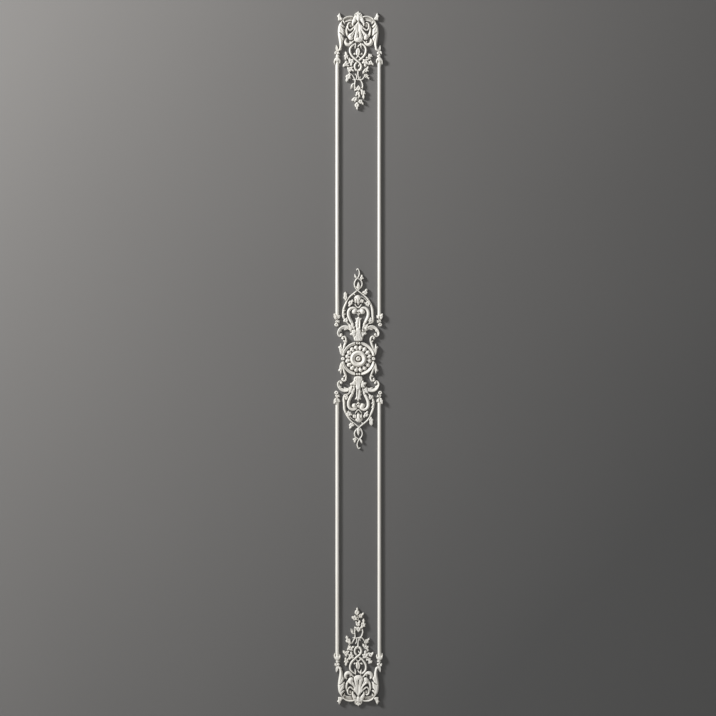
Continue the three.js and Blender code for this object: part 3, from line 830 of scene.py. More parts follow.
    def loops(self) -> None:
        """Draws the two interlaced straps with the bud between them."""
        r = self.relief
        r.stroke([(-2, -96, 1.6, 7), (1.5, -91.5, 2.6, 8), (7, -87.5, 3.2, 9), (15, -86.5, 3.6, 9.5),
                  (23, -92, 3.8, 9.5), (28, -102, 4, 9.5), (28.3, -113, 4, 9.5), (24, -125, 4, 9.5),
                  (15, -136.5, 3.8, 9), (1, -148.5, 3.6, 8.5), (-10.5, -159, 3.6, 8.5), (-13.6, -168, 3.9, 9),
                  (-10.5, -179, 4.1, 9), (-1, -184.5, 4, 9)])
        r.stroke([(-11.2, -83, 2, 8), (-17, -86.5, 3, 9), (-25, -93, 3.6, 9.5), (-30.5, -102, 3.9, 9.5),
                  (-31.2, -113, 4, 9.5), (-26.5, -125.5, 4, 9.5), (-16.5, -137.5, 4, 9.5),
                  (-4, -148.5, 4, 10.5), (6.5, -157.5, 3.8, 10.5), (10.6, -168, 3.9, 9.5),
                  (8, -178.5, 4.1, 9), (-1, -184.5, 4, 9)], over=0.6)
        around = np.radians(np.linspace(-230, 50, 21))
        r.stroke([(-1.4 + 12.4 * math.cos(a), -169.6 + 15 * math.sin(a), 4, 9.5) for a in around])
        r.leaf((-11, -81), (-13.8, -105), 3, 9, 0.05)
        r.leaf((9, -81), (12, -103.5), 3, 9, -0.05)
        r.stroke([(-0.5, -100.5, 1.6, 8), (-3, -107, 4.6, 9.5), (-3.4, -115, 6.2, 10.5),
                  (-2.4, -124, 5.6, 10)])
        r.stroke([(0.5, -101, 1, 8), (3, -108, 3, 10.5), (3.2, -117, 3.4, 11), (1, -126, 2.4, 10)], over=0.5)
        r.stroke([(-8.5, -138, 1.9, 7.5), (-4.5, -134, 2.2, 8), (-0.4, -130.2, 2.3, 8.5), (4, -134, 2.2, 8),
                  (8.5, -138, 1.9, 7.5)])
        r.dome(-14, -122.3, 4.2, 4.2, 8.5)
        r.stroke([(-12, -123, 1.8, 7), (-6, -124, 1.8, 7.5)])
        r.dome(12, -121.5, 4.2, 4.2, 8.5)
        r.stroke([(4, -124, 1.8, 7.5), (10, -122.5, 1.8, 7)])
        r.stroke([(9, -160, 1.8, 7), (5.5, -163.5, 2.1, 7.5), (1.5, -165.5, 2.2, 8), (0.5, -169, 1.5, 7)])

    def ivy_left(self) -> None:
        """Draws the ivy leaves on the left."""
        r = self.relief
        r.stroke([(-16, -139, 2, 7), (-26, -144, 2, 7), (-36, -157, 2, 7), (-40, -168, 2.2, 7),
                  (-38, -182, 2.2, 7.5), (-31, -198, 2.2, 7)])
        r.foliage((-27.5, -150), [(-38, -136), (-17, -143), (-16.5, -153), (-27, -169), (-36, -158)], 7, 9)
        r.foliage((-45, -131), [(-48, -112), (-54, -127), (-48, -146), (-36, -143), (-36, -130)], 5.6, 10.5)
        r.foliage((-46, -160), [(-42.5, -147), (-58.5, -171), (-42, -170), (-33, -170.5), (-34, -157)], 5.8,
                  10)
        r.foliage((-30, -178), [(-43, -174), (-32, -172), (-20, -170.5), (-14.5, -188), (-30, -190)], 6.2, 10)
        r.foliage((-37.5, -208), [(-29, -195), (-48, -206), (-45.5, -227.5), (-31, -215)], 7, 10.5)

    def ivy_right(self) -> None:
        """Draws the ivy leaves on the right."""
        r = self.relief
        r.stroke([(14, -140, 2, 7), (24, -148, 2, 7), (31, -164, 2, 7), (33, -176, 2.2, 7),
                  (30, -188, 2.2, 7), (25, -203, 1.8, 7)])
        r.foliage((26, -151), [(17, -142), (13, -157), (26.5, -173), (37, -163), (33, -140)], 7, 9.5)
        r.foliage((39, -136), [(50.5, -123.5), (47, -141), (31, -146), (28.5, -141)], 3.6, 10, 0.55)
        r.foliage((46, -155), [(47, -146), (38, -150), (37.5, -164), (48, -163), (56.5, -166)], 5.6, 9.5)
        r.foliage((29, -182), [(38.5, -167.5), (27, -176), (15.5, -197), (28, -193), (39, -187.5)], 5.6, 10)
        r.foliage((30.5, -205), [(22.5, -198), (32, -197), (40, -203), (42.5, -218.5), (30, -214)], 4.6, 9.5)

    def knot(self) -> None:
        """Draws the stems that knot under the small loop."""
        r = self.relief
        r.stroke([(-31, -196, 1.8, 7), (-25, -199, 2, 7.5), (-20, -206, 2.1, 8), (-15.5, -214, 2.2, 8),
                  (-12, -222, 2.4, 8), (-13, -234, 2.3, 8), (-14.6, -247, 2.2, 8), (-14.5, -261, 0.8, 7)])
        r.stroke([(-10.5, -197.5, 1.5, 7), (-7, -203, 2, 7.5), (-6, -210, 2.2, 8), (-8, -217, 2.2, 8),
                  (-14, -218.8, 1.9, 7.5), (-21.5, -218.8, 1, 7)])
        r.stroke([(-1, -186, 3, 8), (-1, -198, 2.6, 8), (0, -209, 2.4, 8), (3.5, -216.5, 2.5, 8.5),
                  (12, -219, 2.4, 8.5), (19, -213, 2.2, 8), (23.5, -206, 2, 8), (28, -200, 1.8, 7.5)],
                 over=0.5)
        r.stroke([(-9, -218, 2, 8), (1, -219, 2.2, 8), (9, -222, 2.2, 8), (14, -230, 2.5, 8),
                  (16.4, -241, 2.7, 8), (15.4, -255, 1, 7)])
        r.leaf((5, -216), (9, -206), 2, 8, 0.1)

    def drop(self) -> None:
        """Draws the drop of buds and leaves that ends the ornament."""
        r = self.relief
        r.stroke([(14, -246, 1.8, 7), (10, -252, 2, 7), (4, -256, 2, 7)])
        r.stroke([(-13.5, -244, 1.8, 7), (-8, -252, 2, 7)])
        r.stroke([(-1, -262, 2.6, 8), (0, -280, 2.6, 7.5), (-1, -292, 2.5, 7), (-2.5, -306, 2.2, 7)])
        r.stroke([(-13.5, -236, 1.6, 7.5), (-19, -234.5, 2.6, 8), (-24, -240, 3.2, 9), (-28, -253, 1, 8)])
        r.stroke([(-20, -236, 1.4, 8), (-21, -244, 1.6, 8), (-24, -252, 0.6, 7)])
        r.foliage((0.5, -251), [(1, -239.5), (-6, -247), (-14, -259), (0, -262), (14, -259), (8, -246)], 6.4,
                  10.5)
        r.foliage((-1.5, -270), [(-2, -262), (-8.5, -266), (-9.5, -282), (-2, -278), (6, -285.5),
                                 (6.5, -266)], 6, 10)
        r.foliage((18, -267), [(10.5, -254), (25, -260), (27.5, -273), (20, -293), (13.5, -277)], 6, 10.5)
        r.foliage((-13, -292), [(-25.5, -298), (-13, -284), (-3, -285.5), (-5, -297), (-13, -303.5)], 6.6,
                  10.5)
        r.foliage((8, -301), [(-0.5, -303.5), (6, -292.5), (14, -293.5), (21, -313.5), (8, -310.5)], 5.6, 10)
        r.foliage((-5, -314), [(-4, -302), (-14, -313), (-12, -321), (-3.7, -333.2), (2.8, -320),
                               (3.5, -311)], 6.8, 11)

    def calyx(self) -> None:
        """Draws the beaded stem and the bell that takes the end of a rod."""
        r = self.relief
        x = -ROD_AXIS
        r.stroke([(x + 13, -98, 4, 9), (x + 11, -104, 5, 10), (x + 3, -109, 4.6, 9.5), (x, -117, 3.6, 8),
                  (x, -140, 4.4, 8)])
        r.leaf((x - 1, -112), (x - 4.5, -88.5), 5.2, 9.5, -0.06)
        r.leaf((x - 2, -112), (x - 8, -125), 4.4, 9, -0.1)
        r.dome(x + 4, -119, 5.4, 5.6, 9.5)
        r.dome(x + 1.5, -131, 7.6, 4.8, 10.5)
        r.dome(x, -143, 10, 8.4, 13, Relief.BELL)
        r.stroke([(x - 5, -139, 3, 12), (x - 9, -145, 3.2, 12.5), (x - 10.6, -153, 2.8, 11),
                  (x - 10, -161.5, 0.7, 8)])
        r.stroke([(x + 5, -139, 3, 12), (x + 8.6, -144.5, 3.2, 12.5), (x + 10, -151, 2.8, 11),
                  (x + 9, -157.5, 0.7, 8)])


@dataclass
class CentreOrnament:
    """The long cast ornament in the middle, drawn for its upper half and turned for its lower."""

    relief: Relief = field(default_factory=lambda: Relief((-90, -345), (90, 345), Casting(step=0.78)))
    ring: float = 58.3

    def draw(self) -> None:
        """Draws the whole ornament."""
        r = self.relief
        self.vines()
        self.vine_leaves()
        r.both_sides(self.side_scroll)
        r.both_sides(self.heart)
        self.rose()
        self.plume()
        r.both_sides(self.plume_leaves)
        self.cup()
        r.both_sides(self.side_leaves)
        r.both_sides(self.ring_arc)
        self.ring_beads()
        r.turned_too()
        Rosette().draw(r)
        r.soften()

    def vines(self) -> None:
        """Draws the two vines that cross twice over the heart."""
        r = self.relief
        r.stroke([(-12.5, 311, 1.6, 7), (-8, 305, 2, 7), (-2, 301.5, 2.1, 7), (5, 298, 2.2, 7),
                  (11.5, 291, 2.3, 7.5), (14.4, 281.5, 2.4, 7.5), (11.5, 271, 2.5, 8), (4.5, 263, 2.6, 8),
                  (-4.8, 255.5, 2.6, 8.5), (-17.5, 244.8, 2.8, 8.5), (-30, 234.5, 3, 8.5),
                  (-39.5, 223.5, 3.3, 9), (-45.5, 210.5, 3.6, 9.5), (-51.4, 197, 4, 10),
                  (-55.2, 185.5, 4.3, 10), (-56.4, 174, 4.3, 10), (-56.8, 163, 4.6, 10), (-54, 152, 4.2, 9.5),
                  (-47, 140, 2.8, 9), (-39, 132.5, 2.8, 8.5), (-31, 122, 3, 8)])
        r.stroke([(-6.5, 333, 1.6, 6), (-2.5, 337, 2, 6.5), (1.8, 332, 2.3, 7), (4.2, 322, 2.5, 7),
                  (2.4, 312, 2.4, 7.5), (-2.5, 303.5, 2.3, 8), (-9, 296, 2.4, 8), (-14.2, 286, 2.4, 7.5),
                  (-14.6, 275.5, 2.5, 7.5), (-10.5, 265.5, 2.5, 7.5), (-3, 257, 2.5, 7.5), (8, 248, 2.5, 8),
                  (22.5, 237, 2.8, 8), (33, 226, 3.4, 8.5), (42, 212, 4.2, 9.5), (47.8, 200, 4.5, 10),
                  (52, 188, 4.9, 10.5), (53, 176, 4.8, 10.5), (53.6, 163, 5, 10.5), (54.2, 151, 5.2, 10.5),
                  (52, 139, 4.2, 9.5), (45, 134, 2.8, 8.5), (38, 132, 2.8, 8.5), (31, 122, 3, 8)], over=0.55)

    def vine_leaves(self) -> None:
        """Draws the small leaves and buds on the vines."""
        r = self.relief
        r.leaf((-7, 301.5), (-13.5, 319), 4, 9, 0.06)
        r.foliage((12.5, 303), [(13.6, 316), (5.5, 303.5), (10.5, 295), (21.5, 301)], 4.4, 9.5)
        r.leaf((0, 259), (-0.4, 289), 6, 10.5, -0.02)
        r.leaf((0, 262), (-8, 273), 2.6, 8.5, 0.12)
        r.foliage((-48, 230), [(-49, 252), (-41, 226), (-47, 216), (-55.5, 226)], 6.2, 10.5)
        r.foliage((27, 249), [(33, 263), (14, 248.5), (28, 239.5), (35.5, 250)], 5.6, 10)
        r.stroke([(20, 240, 1.8, 7.5), (25, 246, 1.8, 8)])
        r.leaf((-18, 244.5), (-10, 236.5), 2.4, 8)
        r.stroke([(10, 233, 1.2, 8), (18, 229, 1.4, 8), (26, 223.5, 1.6, 8), (34, 215, 1.8, 8)])
        for level in (178, 163.5):
            r.leaf((-56, level - 1), (-46.5, level + 3.5), 3.2, 10, 0.2)
        r.foliage((-46.5, 144), [(-41.5, 155), (-37.5, 145), (-41, 134.5), (-57.5, 141), (-52, 150)], 6, 10)
        r.foliage((44, 144.5), [(47.5, 156), (36, 143), (41, 134), (52, 139)], 5.4, 10)

    def rose(self) -> None:
        """Draws the rose and the leaves beside it."""
        r = self.relief
        r.foliage((-29, 209), [(-20, 222.5), (-31, 218.5), (-38.5, 208), (-36.5, 195), (-23, 205)], 6.6, 10.5)
        r.foliage((35, 206.5), [(21.5, 210), (31, 215), (36, 216.5), (47, 206), (38, 194), (29, 199)], 6.6,
                  10)
        r.stroke([(-22, 214, 1.6, 7.5), (-14, 216, 1.8, 8)])
        r.stroke([(24, 212, 1.6, 7.5), (16, 215, 1.8, 8)])
        r.leaf((0, 214), (0.5, 202), 5, 10.5)
        r.dome(-2, 223, 14.6, 16, 13, Relief.BULB, over=0.5)
        for line in (
            [(-12, 232, 0.8, 1), (-7, 223, 1.2, 2.4), (-2, 212, 0.9, 1.4)],
            [(3, 236, 0.8, 1), (8, 227, 1.2, 2.4), (4, 214, 0.9, 1.4)],
            [(-7, 234, 0.8, 1), (1, 230, 1, 2), (3.5, 219, 0.8, 1.2)],
        ):
            r.groove(line)
        r.leaf((-12, 224), (-13, 207), 4.2, 12.5, 0.12, over=0.5)
        r.foliage((13.5, 216), [(10, 224), (20, 221.5), (17, 208.5), (9, 209.5)], 5, 12.5)
        r.stroke([(-12.5, 204, 1.8, 8), (-8.5, 198, 2.3, 9), (-3, 192.6, 2.6, 9.5), (0, 191.6, 2.6, 9.5),
                  (3, 192.6, 2.6, 9.5), (7.5, 198, 2.3, 9), (11, 204, 1.8, 8)])

    def heart(self) -> None:
        """Draws one side of the heart, with its volute."""
        r = self.relief
        r.stroke([(-4.6, 174, 1.2, 7.5), (-5.6, 181, 2.8, 8.5), (-10.5, 187, 4.6, 10),
                  (-19, 190.2, 5.4, 10.5), (-28.5, 188, 5.7, 11), (-35, 180.5, 5.9, 11.5),
                  (-37.2, 169.5, 6, 11.5), (-35.2, 156.5, 6, 11.5), (-30, 145, 5.9, 11.5),
                  (-24, 133.5, 5.6, 11), (-19.5, 121, 4.6, 10.5), (-17, 106, 4, 11)], Section.STRAP, over=0.4)
        r.groove([(-22, 187.5, 0.6, 1), (-29.5, 183.5, 1.2, 2.2), (-34.4, 171, 1.4, 2.6),
                  (-31.5, 156, 1.2, 2.2), (-21.5, 132, 0.8, 1.4)])
        r.dome(-15, 176.8, 10, 9.8, 12.5, Relief.BULB, over=0.25)

    def plume(self) -> None:
        """Draws the pendant between the volutes and the tall plume under it."""
        r = self.relief
        r.stroke([(0, 184, 1.6, 7), (0, 176, 3, 8)])
        r.dome(0, 177, 6, 4.6, 9)
        r.leaf((0, 172), (0, 161), 4.6, 9)
        r.stroke([(-8, 172.5, 1.3, 8), (-4.5, 168.5, 1.9, 8.5), (0, 166.8, 2, 9), (4.5, 168.5, 1.9, 8.5),
                  (8, 172.5, 1.3, 8)], over=0.5)
        r.shape([(1, 158.5), (-3, 155.5), (-4.5, 151.5), (-9, 154), (-11.5, 150), (-8.5, 144), (-9.5, 139),
                 (-13, 136), (-10.5, 129), (-12.5, 122), (-9, 114), (-9.5, 106), (-11, 98), (-15, 90),
                 (15, 90), (12, 98), (10, 106), (8, 114), (8.5, 124), (9, 132), (8.5, 140), (9.5, 145),
                 (13, 150), (11, 154), (6.5, 151.5), (5, 155.5)], 12, rise=4)
        r.stroke([(3, 88, 3, 14), (4.4, 104, 2.8, 14.5), (5.4, 124, 2.6, 14.5), (5.4, 141, 2, 13.5)])
        r.stroke([(-5.6, 88, 3, 13.6), (-5.4, 104, 2.6, 14), (-4.4, 124, 2.4, 13.6), (-3.4, 141, 1.8, 13)])
        for line in (
            [(1, 152, 0.7, 2), (0.8, 130, 1.2, 4), (-0.6, 104, 1.2, 4), (-1, 94, 0.7, 2)],
            [(-6.5, 146, 0.6, 2), (-8, 128, 1, 3.4), (-8.4, 108, 0.9, 3)],
            [(8, 146, 0.6, 2), (8.4, 128, 0.8, 2.6), (8.2, 108, 0.8, 3)],
        ):
            r.groove(line)

    def plume_leaves(self) -> None:
        """Draws the leaves over the foot of the heart at one side of the plume."""
        r = self.relief
        r.foliage((-25, 119), [(-37, 130), (-21, 137), (-15, 112), (-31, 104)], 6.4, 11)
        r.leaf((-11, 92), (-14.5, 127), 3.8, 13.5, 0.1)
        r.leaf((-12, 86), (-18, 112), 5, 12.5, 0.06)

    def cup(self) -> None:
        """Draws the fluted cup that the plume stands in, and the leaf at each side of it."""
        r = self.relief
        side = [(9, 64.6), (14, 67), (17, 73), (18.6, 80), (16.5, 90), (12, 100), (9.5, 110), (7, 118)]
        r.shape(mirrored(side), 15.5, rise=6, over=0)
        for share in (-0.75, -0.28, 0.28, 0.75):
            r.groove([(11 * share, 68, 0.8, 1.4), (13 * share, 77, 1.5, 3), (14 * share, 89, 1.4, 3),
                      (10 * share, 102, 0.8, 1.6)])
        r.shape([(-30, 95), (-27.5, 98), (-23.5, 98.5), (-26.5, 104), (-23.5, 110), (-17.5, 108), (-12, 110),
                 (-8, 104), (-9, 97), (-10.5, 90), (-14, 83), (-18, 79), (-20.5, 84), (-22.5, 87),
                 (-28, 87.5), (-32.5, 91)], 15, rise=4,
                ribs=[((-12, 92), (-30, 92)), ((-12, 94), (-23, 108))])
        r.shape([(10, 99), (15, 101), (19.5, 98), (23.5, 99.5), (29, 99.5), (32.5, 95), (29, 90.5),
                 (23.5, 89), (20, 84), (15.5, 80), (12, 87)], 14, rise=4, ribs=[((12, 91), (30, 95))])

    def side_scroll(self) -> None:
        """Draws the big scroll at one side and its leaflets."""
        r = self.relief
        r.leaf((-40, 113), (-54.5, 106.5), 4.4, 9.5, -0.12)
        r.leaf((-73, 110), (-62.5, 104), 5, 9.5, -0.14)
        r.stroke([(-22, 99, 5.2, 12), (-29, 110, 6, 12), (-38, 116, 6.7, 12), (-48, 118.6, 6.7, 11.5),
                  (-58, 117.4, 6.5, 11), (-67, 112, 5.8, 10.5), (-73, 103, 5.4, 10), (-75, 93.5, 4.7, 9.5),
                  (-72, 86.5, 4, 9.5), (-67, 85, 3.6, 9.5), (-63.4, 88.5, 3.1, 9.5)], Section.RIM, over=0.3)
        r.dome(-64, 90.6, 5.2, 5.2, 12, Relief.BULB)

    def side_leaves(self) -> None:
        """Draws the small scroll and the leaves beside the ring."""
        r = self.relief
        r.shape([(-53, 8), (-61, 10), (-67, 17), (-70.6, 27), (-71.6, 37), (-76, 42), (-74, 47), (-69.6, 48),
                 (-65.8, 59), (-62.4, 51), (-60, 42), (-55, 30), (-50, 20), (-49.5, 12)], 12.5, rise=6)
        r.stroke([(-59, 72, 1.6, 8.5), (-61.5, 77, 2.8, 9), (-58, 82.4, 3.4, 10), (-51.5, 82.6, 3.8, 10.5),
                  (-47, 77, 4, 11), (-46.2, 68.5, 4.2, 11), (-49, 58, 4.6, 11.5), (-53.5, 46, 4.6, 12),
                  (-56.4, 30, 4.4, 12.5), (-56, 12, 3.2, 12)], over=0.25)
        r.dome(-57.6, 76, 4.4, 4.4, 11.5, Relief.BULB)
        r.leaf((-49, 61), (-58, 69), 3.8, 11, -0.1)
        r.groove([(-62, 14, 0.7, 1.4), (-65, 28, 1.1, 3), (-66, 44, 0.8, 2)])

    def ring_arc(self) -> None:
        """Draws a quarter of the ring round the rosette."""
        halves = np.interp(np.arange(9), (0, 1, 5, 8), (5.2, 6, 5.8, 4.6))
        angles = np.radians(np.linspace(103, 166, len(halves)))
        places = zip(self.ring * np.cos(angles), self.ring * np.sin(angles), halves, strict=True)
        self.relief.stroke([(x, z, half, 13.0) for x, z, half in places], Section.RIM, over=0.4)

    def ring_beads(self) -> None:
        """Draws the beads between the quarters and the low straps that hold them."""
        r = self.relief
        r.stroke([(-14, 57.6, 2, 3), (0, 58, 2, 3), (14, 57.6, 2, 3)])
        r.stroke([(0, 50, 2.2, 4), (0, 66, 2.4, 4)])
        for x in (-4.4, 4.4):
            r.dome(x, 58, 4.8, 4.8, 15, Relief.BULB, over=0.4)
            r.groove([(x * 2.25, 51, 1.8, 12), (x * 2.25, 58, 1.8, 12), (x * 2.25, 66, 1.8, 12)])
        for side in (-1, 1):
            r.dome(side * 57.2, 0, 8, 7, 12.5, ((0, 0.8), (0.3, 0.86), (0.55, 1), (0.8, 0.7), (1, 0.1)),
                   over=0.5)
            r.stroke([(side * 30, 0, 2.6, 4.5), (side * 54, 0, 2.6, 4.5)])


@dataclass(frozen=True)
class Rosette:
    """The rosette in the ring, in millimetres from its middle.

    Attributes:
        bed: Radius, half width and height of the low ring under the petals.
        eye_angles: Where the eyes between the petals are in each quarter, in degrees.
        eye_from: Radius and half width where an eye starts.
        eye_to: Radius and half width where it ends.
        gap_from: Radius and half width where the gap on an axis starts.
        gap_to: Radius and half width where it ends.
        dish_radius: Radius of the raised ring round the dish.
        dish_height: Height of that ring.
        dish: Share of that height at shares of its radius.
        button: Heights of the button and the groove round it, at their radii.
    """

    bed: Size = (40.0, 5.4, 7.6)
    eye_angles: tuple[float, ...] = (20, 45, 70)
    eye_from: Point = (34.6, 2.9)
    eye_to: Point = (37.8, 2.7)
    gap_from: Point = (43.0, 0.8)
    gap_to: Point = (48.0, 2.6)
    dish_radius: float = 31.0
    dish_height: float = 16.5
    dish: tuple[Point, ...] = (
        (0, 0.7), (0.42, 0.7), (0.54, 0.76), (0.64, 0.9), (0.74, 1), (0.83, 0.96), (0.9, 0.82), (0.96, 0.58),
        (1, 0.3),
    )
    button: tuple[Point, ...] = (
        (0, 12), (2.2, 12.4), (3.6, 17), (6.3, 17.2), (8.8, 14), (10.2, 3.4), (12.4, 3.4), (13.4, 7)
    )

    @staticmethod
    def cut(relief: Relief, angle: float, start: Point, end: Point) -> None:
        """Cuts a gap through the petals, outwards from the middle.

        Args:
            relief: The relief that holds the rosette.
            angle: Its direction, in degrees.
            start: Radius and half width where it starts.
            end: Radius and half width where it ends.
        """
        x, z = math.cos(math.radians(angle)), math.sin(math.radians(angle))
        relief.pierce([(x * reach, z * reach, half, 1) for reach, half in (start, end)])

    def draw(self, relief: Relief) -> None:
        """Draws the petals, laid round by nodes, then their eyes, the dish and the button.

        Args:
            relief: The relief that holds the rosette.
        """
        reach, half, height = self.bed
        around = np.linspace(0, 2 * math.pi, 33)
        relief.stroke([(reach * math.cos(a), reach * math.sin(a), half, height) for a in around])
        relief.stamp(PetalRing().mesh())
        for quarter in (0, 90, 180, 270):
            for angle in self.eye_angles:
                self.cut(relief, angle + quarter, self.eye_from, self.eye_to)
            self.cut(relief, quarter, self.gap_from, self.gap_to)
        relief.dome(0, 0, self.dish_radius, self.dish_radius, self.dish_height, self.dish, over=0.6)
        radii, heights = zip(*self.button, strict=True)
        rows, columns, x, z = relief.window((-14, -14), (14, 14))
        radius = np.hypot(x, z)
        button = np.interp(radius, radii, heights)
        relief.height[rows, columns] = np.where(radius < radii[-1], button, relief.height[rows, columns])


@dataclass
class NodeTree:
    """A geometry node tree under construction."""

    name: str

    def __post_init__(self) -> None:
        """Makes the tree with its geometry output."""
        self.tree = bpy.data.node_groups.new(self.name, "GeometryNodeTree")
        self.tree.interface.new_socket("Geometry", in_out="OUTPUT", socket_type="NodeSocketGeometry")
        self.inputs = self.tree.nodes.new("NodeGroupInput")
        self.output = self.tree.nodes.new("NodeGroupOutput")

    def number(self, name: str, kind: str, value: float) -> bpy.types.NodeSocket:
        """Adds a named input.

        Args:
            name: Its name.
            kind: Float, Int or Vector.
            value: Its value.

        Returns:
            The socket to link from.
        """
        made = self.tree.interface.new_socket(name, in_out="INPUT", socket_type=f"NodeSocket{kind}")
        made.default_value = value
        return self.inputs.outputs[name]

    def node(self, kind: str, links: dict | None = None, **settings: object) -> bpy.types.Node:
        """Adds a node.

        Args:
            kind: Its type, without the leading GeometryNode.
            links: Sockets or values for its inputs, by name or place.
            **settings: Properties of the node.

        Returns:
            The node.
        """
        prefix = "" if kind.startswith(("Function", "Shader")) else "GeometryNode"
        return add_node(self.tree, prefix + kind, links or {}, settings)

    def finish(self, geometry: bpy.types.NodeSocket, material: bpy.types.Material | None = None) -> None:
        """Ends the tree in realized instances and a material.

        Args:
            geometry: What the tree makes.
            material: Its material.
        """
        real = self.node("RealizeInstances", {"Geometry": geometry})
        painted = self.node("SetMaterial", {"Geometry": real.outputs[0]})
        painted.inputs["Material"].default_value = material
        self.tree.links.new(painted.outputs[0], self.output.inputs["Geometry"])

    def run(self, values: dict[str, float]) -> bpy.types.Mesh:
        """Runs the tree once and keeps what it makes as a plain mesh.

        Args:
            values: Values for its named inputs.

        Returns:
            The mesh.
        """
        carrier = add_object(self.name, bpy.data.meshes.new(self.name))
        modifier = carrier.modifiers.new(self.name, "NODES")
        modifier.node_group = self.tree
        for item in self.tree.interface.items_tree:
            if item.in_out == "INPUT" and item.name in values:
                modifier[item.identifier] = values[item.name]
        carrier.update_tag()
        depsgraph = bpy.context.evaluated_depsgraph_get()
        mesh = bpy.data.meshes.new_from_object(carrier.evaluated_get(depsgraph))
        bpy.data.objects.remove(carrier)
        return mesh


@dataclass(frozen=True)
class PetalRing:
    """The sixteen petals of the rosette, each a tip and a stem, in pairs that lean together."""

    pairs: int = 8
    lean: float = 0.3
    tip_radius: float = 43.0
    tip_size: Size = (8.7, 8.5, 12.0)
    stem_radius: float = 35.5
    stem_size: Size = (9.0, 6.8, 11.0)
    segments: int = 24
    rings: int = 16

    def mesh(self) -> bpy.types.Mesh:
        """Lays the petals round with nodes.

        Returns:
            The petals, in metres, standing on the wall plane.
        """
        tree = NodeTree("petal_ring")
        pairs = tree.number("Pairs", "Int", self.pairs)
        ball = tree.node("MeshUVSphere", {"Segments": self.segments, "Rings": self.rings, "Radius": MM})
        step = 180 / self.pairs
        both = tree.node("JoinGeometry")
        parts = (("Tip", self.tip_radius, self.tip_size), ("Stem", self.stem_radius, self.stem_size))
        for name, reach, size in parts:
            radius = tree.number(name + " radius", "Float", reach * MM)
            shaped = tree.node("Transform", {"Geometry": ball.outputs["Mesh"], "Scale": size})
            for hand in (-1, 1):
                circle = tree.node("MeshCircle", {"Vertices": pairs, "Radius": radius})
                spread = math.radians(step + hand * (step / 2 - self.lean))
                turned = tree.node("Transform", {"Geometry": circle.outputs[0], "Rotation": (0, 0, spread)})
                place = tree.node("InputPosition")
                facing = tree.node(
                    "FunctionNodeAlignRotationToVector", {"Vector": place.outputs[0]}, axis="X"
                )
                petal, way = shaped.outputs[0], facing.outputs[0]
                links = {"Points": turned.outputs[0], "Instance": petal, "Rotation": way}
                laid = tree.node("InstanceOnPoints", links)
                tree.tree.links.new(laid.outputs[0], both.inputs[0])
        quarter_turn = (math.radians(90), 0, 0)
        upright = tree.node("Transform", {"Geometry": both.outputs[0], "Rotation": quarter_turn})
        tree.finish(upright.outputs[0])
        return tree.run({"Pairs": self.pairs})


@dataclass
class Finial:
    """A small cast end cap, drawn from its mouth down."""

    relief: Relief = field(
        default_factory=lambda: Relief((-22, -52), (20, 12), Casting(step=0.4, draft_step=0.7, soften=0.45))
    )

    def draw(self) -> None:
        """Draws the finial."""
        r = self.relief
        r.stroke([(0, -9, 6.5, 10), (-0.5, -14, 5, 10), (-1.6, -22, 4, 9.5), (-2.6, -30, 3, 9)])
        r.dome(0, -6.5, 9.6, 8, 12, Relief.BELL)
        r.foliage((-7.5, -6), [(-12.2, 6.5), (-13.5, -6), (-5, -18), (-1, -3)], 5.4, 12.5)
        r.foliage((5.5, -8), [(10.8, -1), (10.5, -9), (1, -15), (1.5, -3)], 4.4, 11.5)
        r.foliage((3, -24.5), [(-1, -21), (10.5, -22), (9, -29), (1, -28)], 3.6, 10)
        r.leaf((-2, -20), (-8.5, -27), 2.6, 8.5, 0.1)
        angles = np.radians(np.linspace(80, 440, 17))
        ring = [(-3 + 4.5 * math.cos(a), -36.4 + 4 * math.sin(a), 3.4, 9.5) for a in angles]
        r.stroke(ring, over=0.3)
        r.soften()


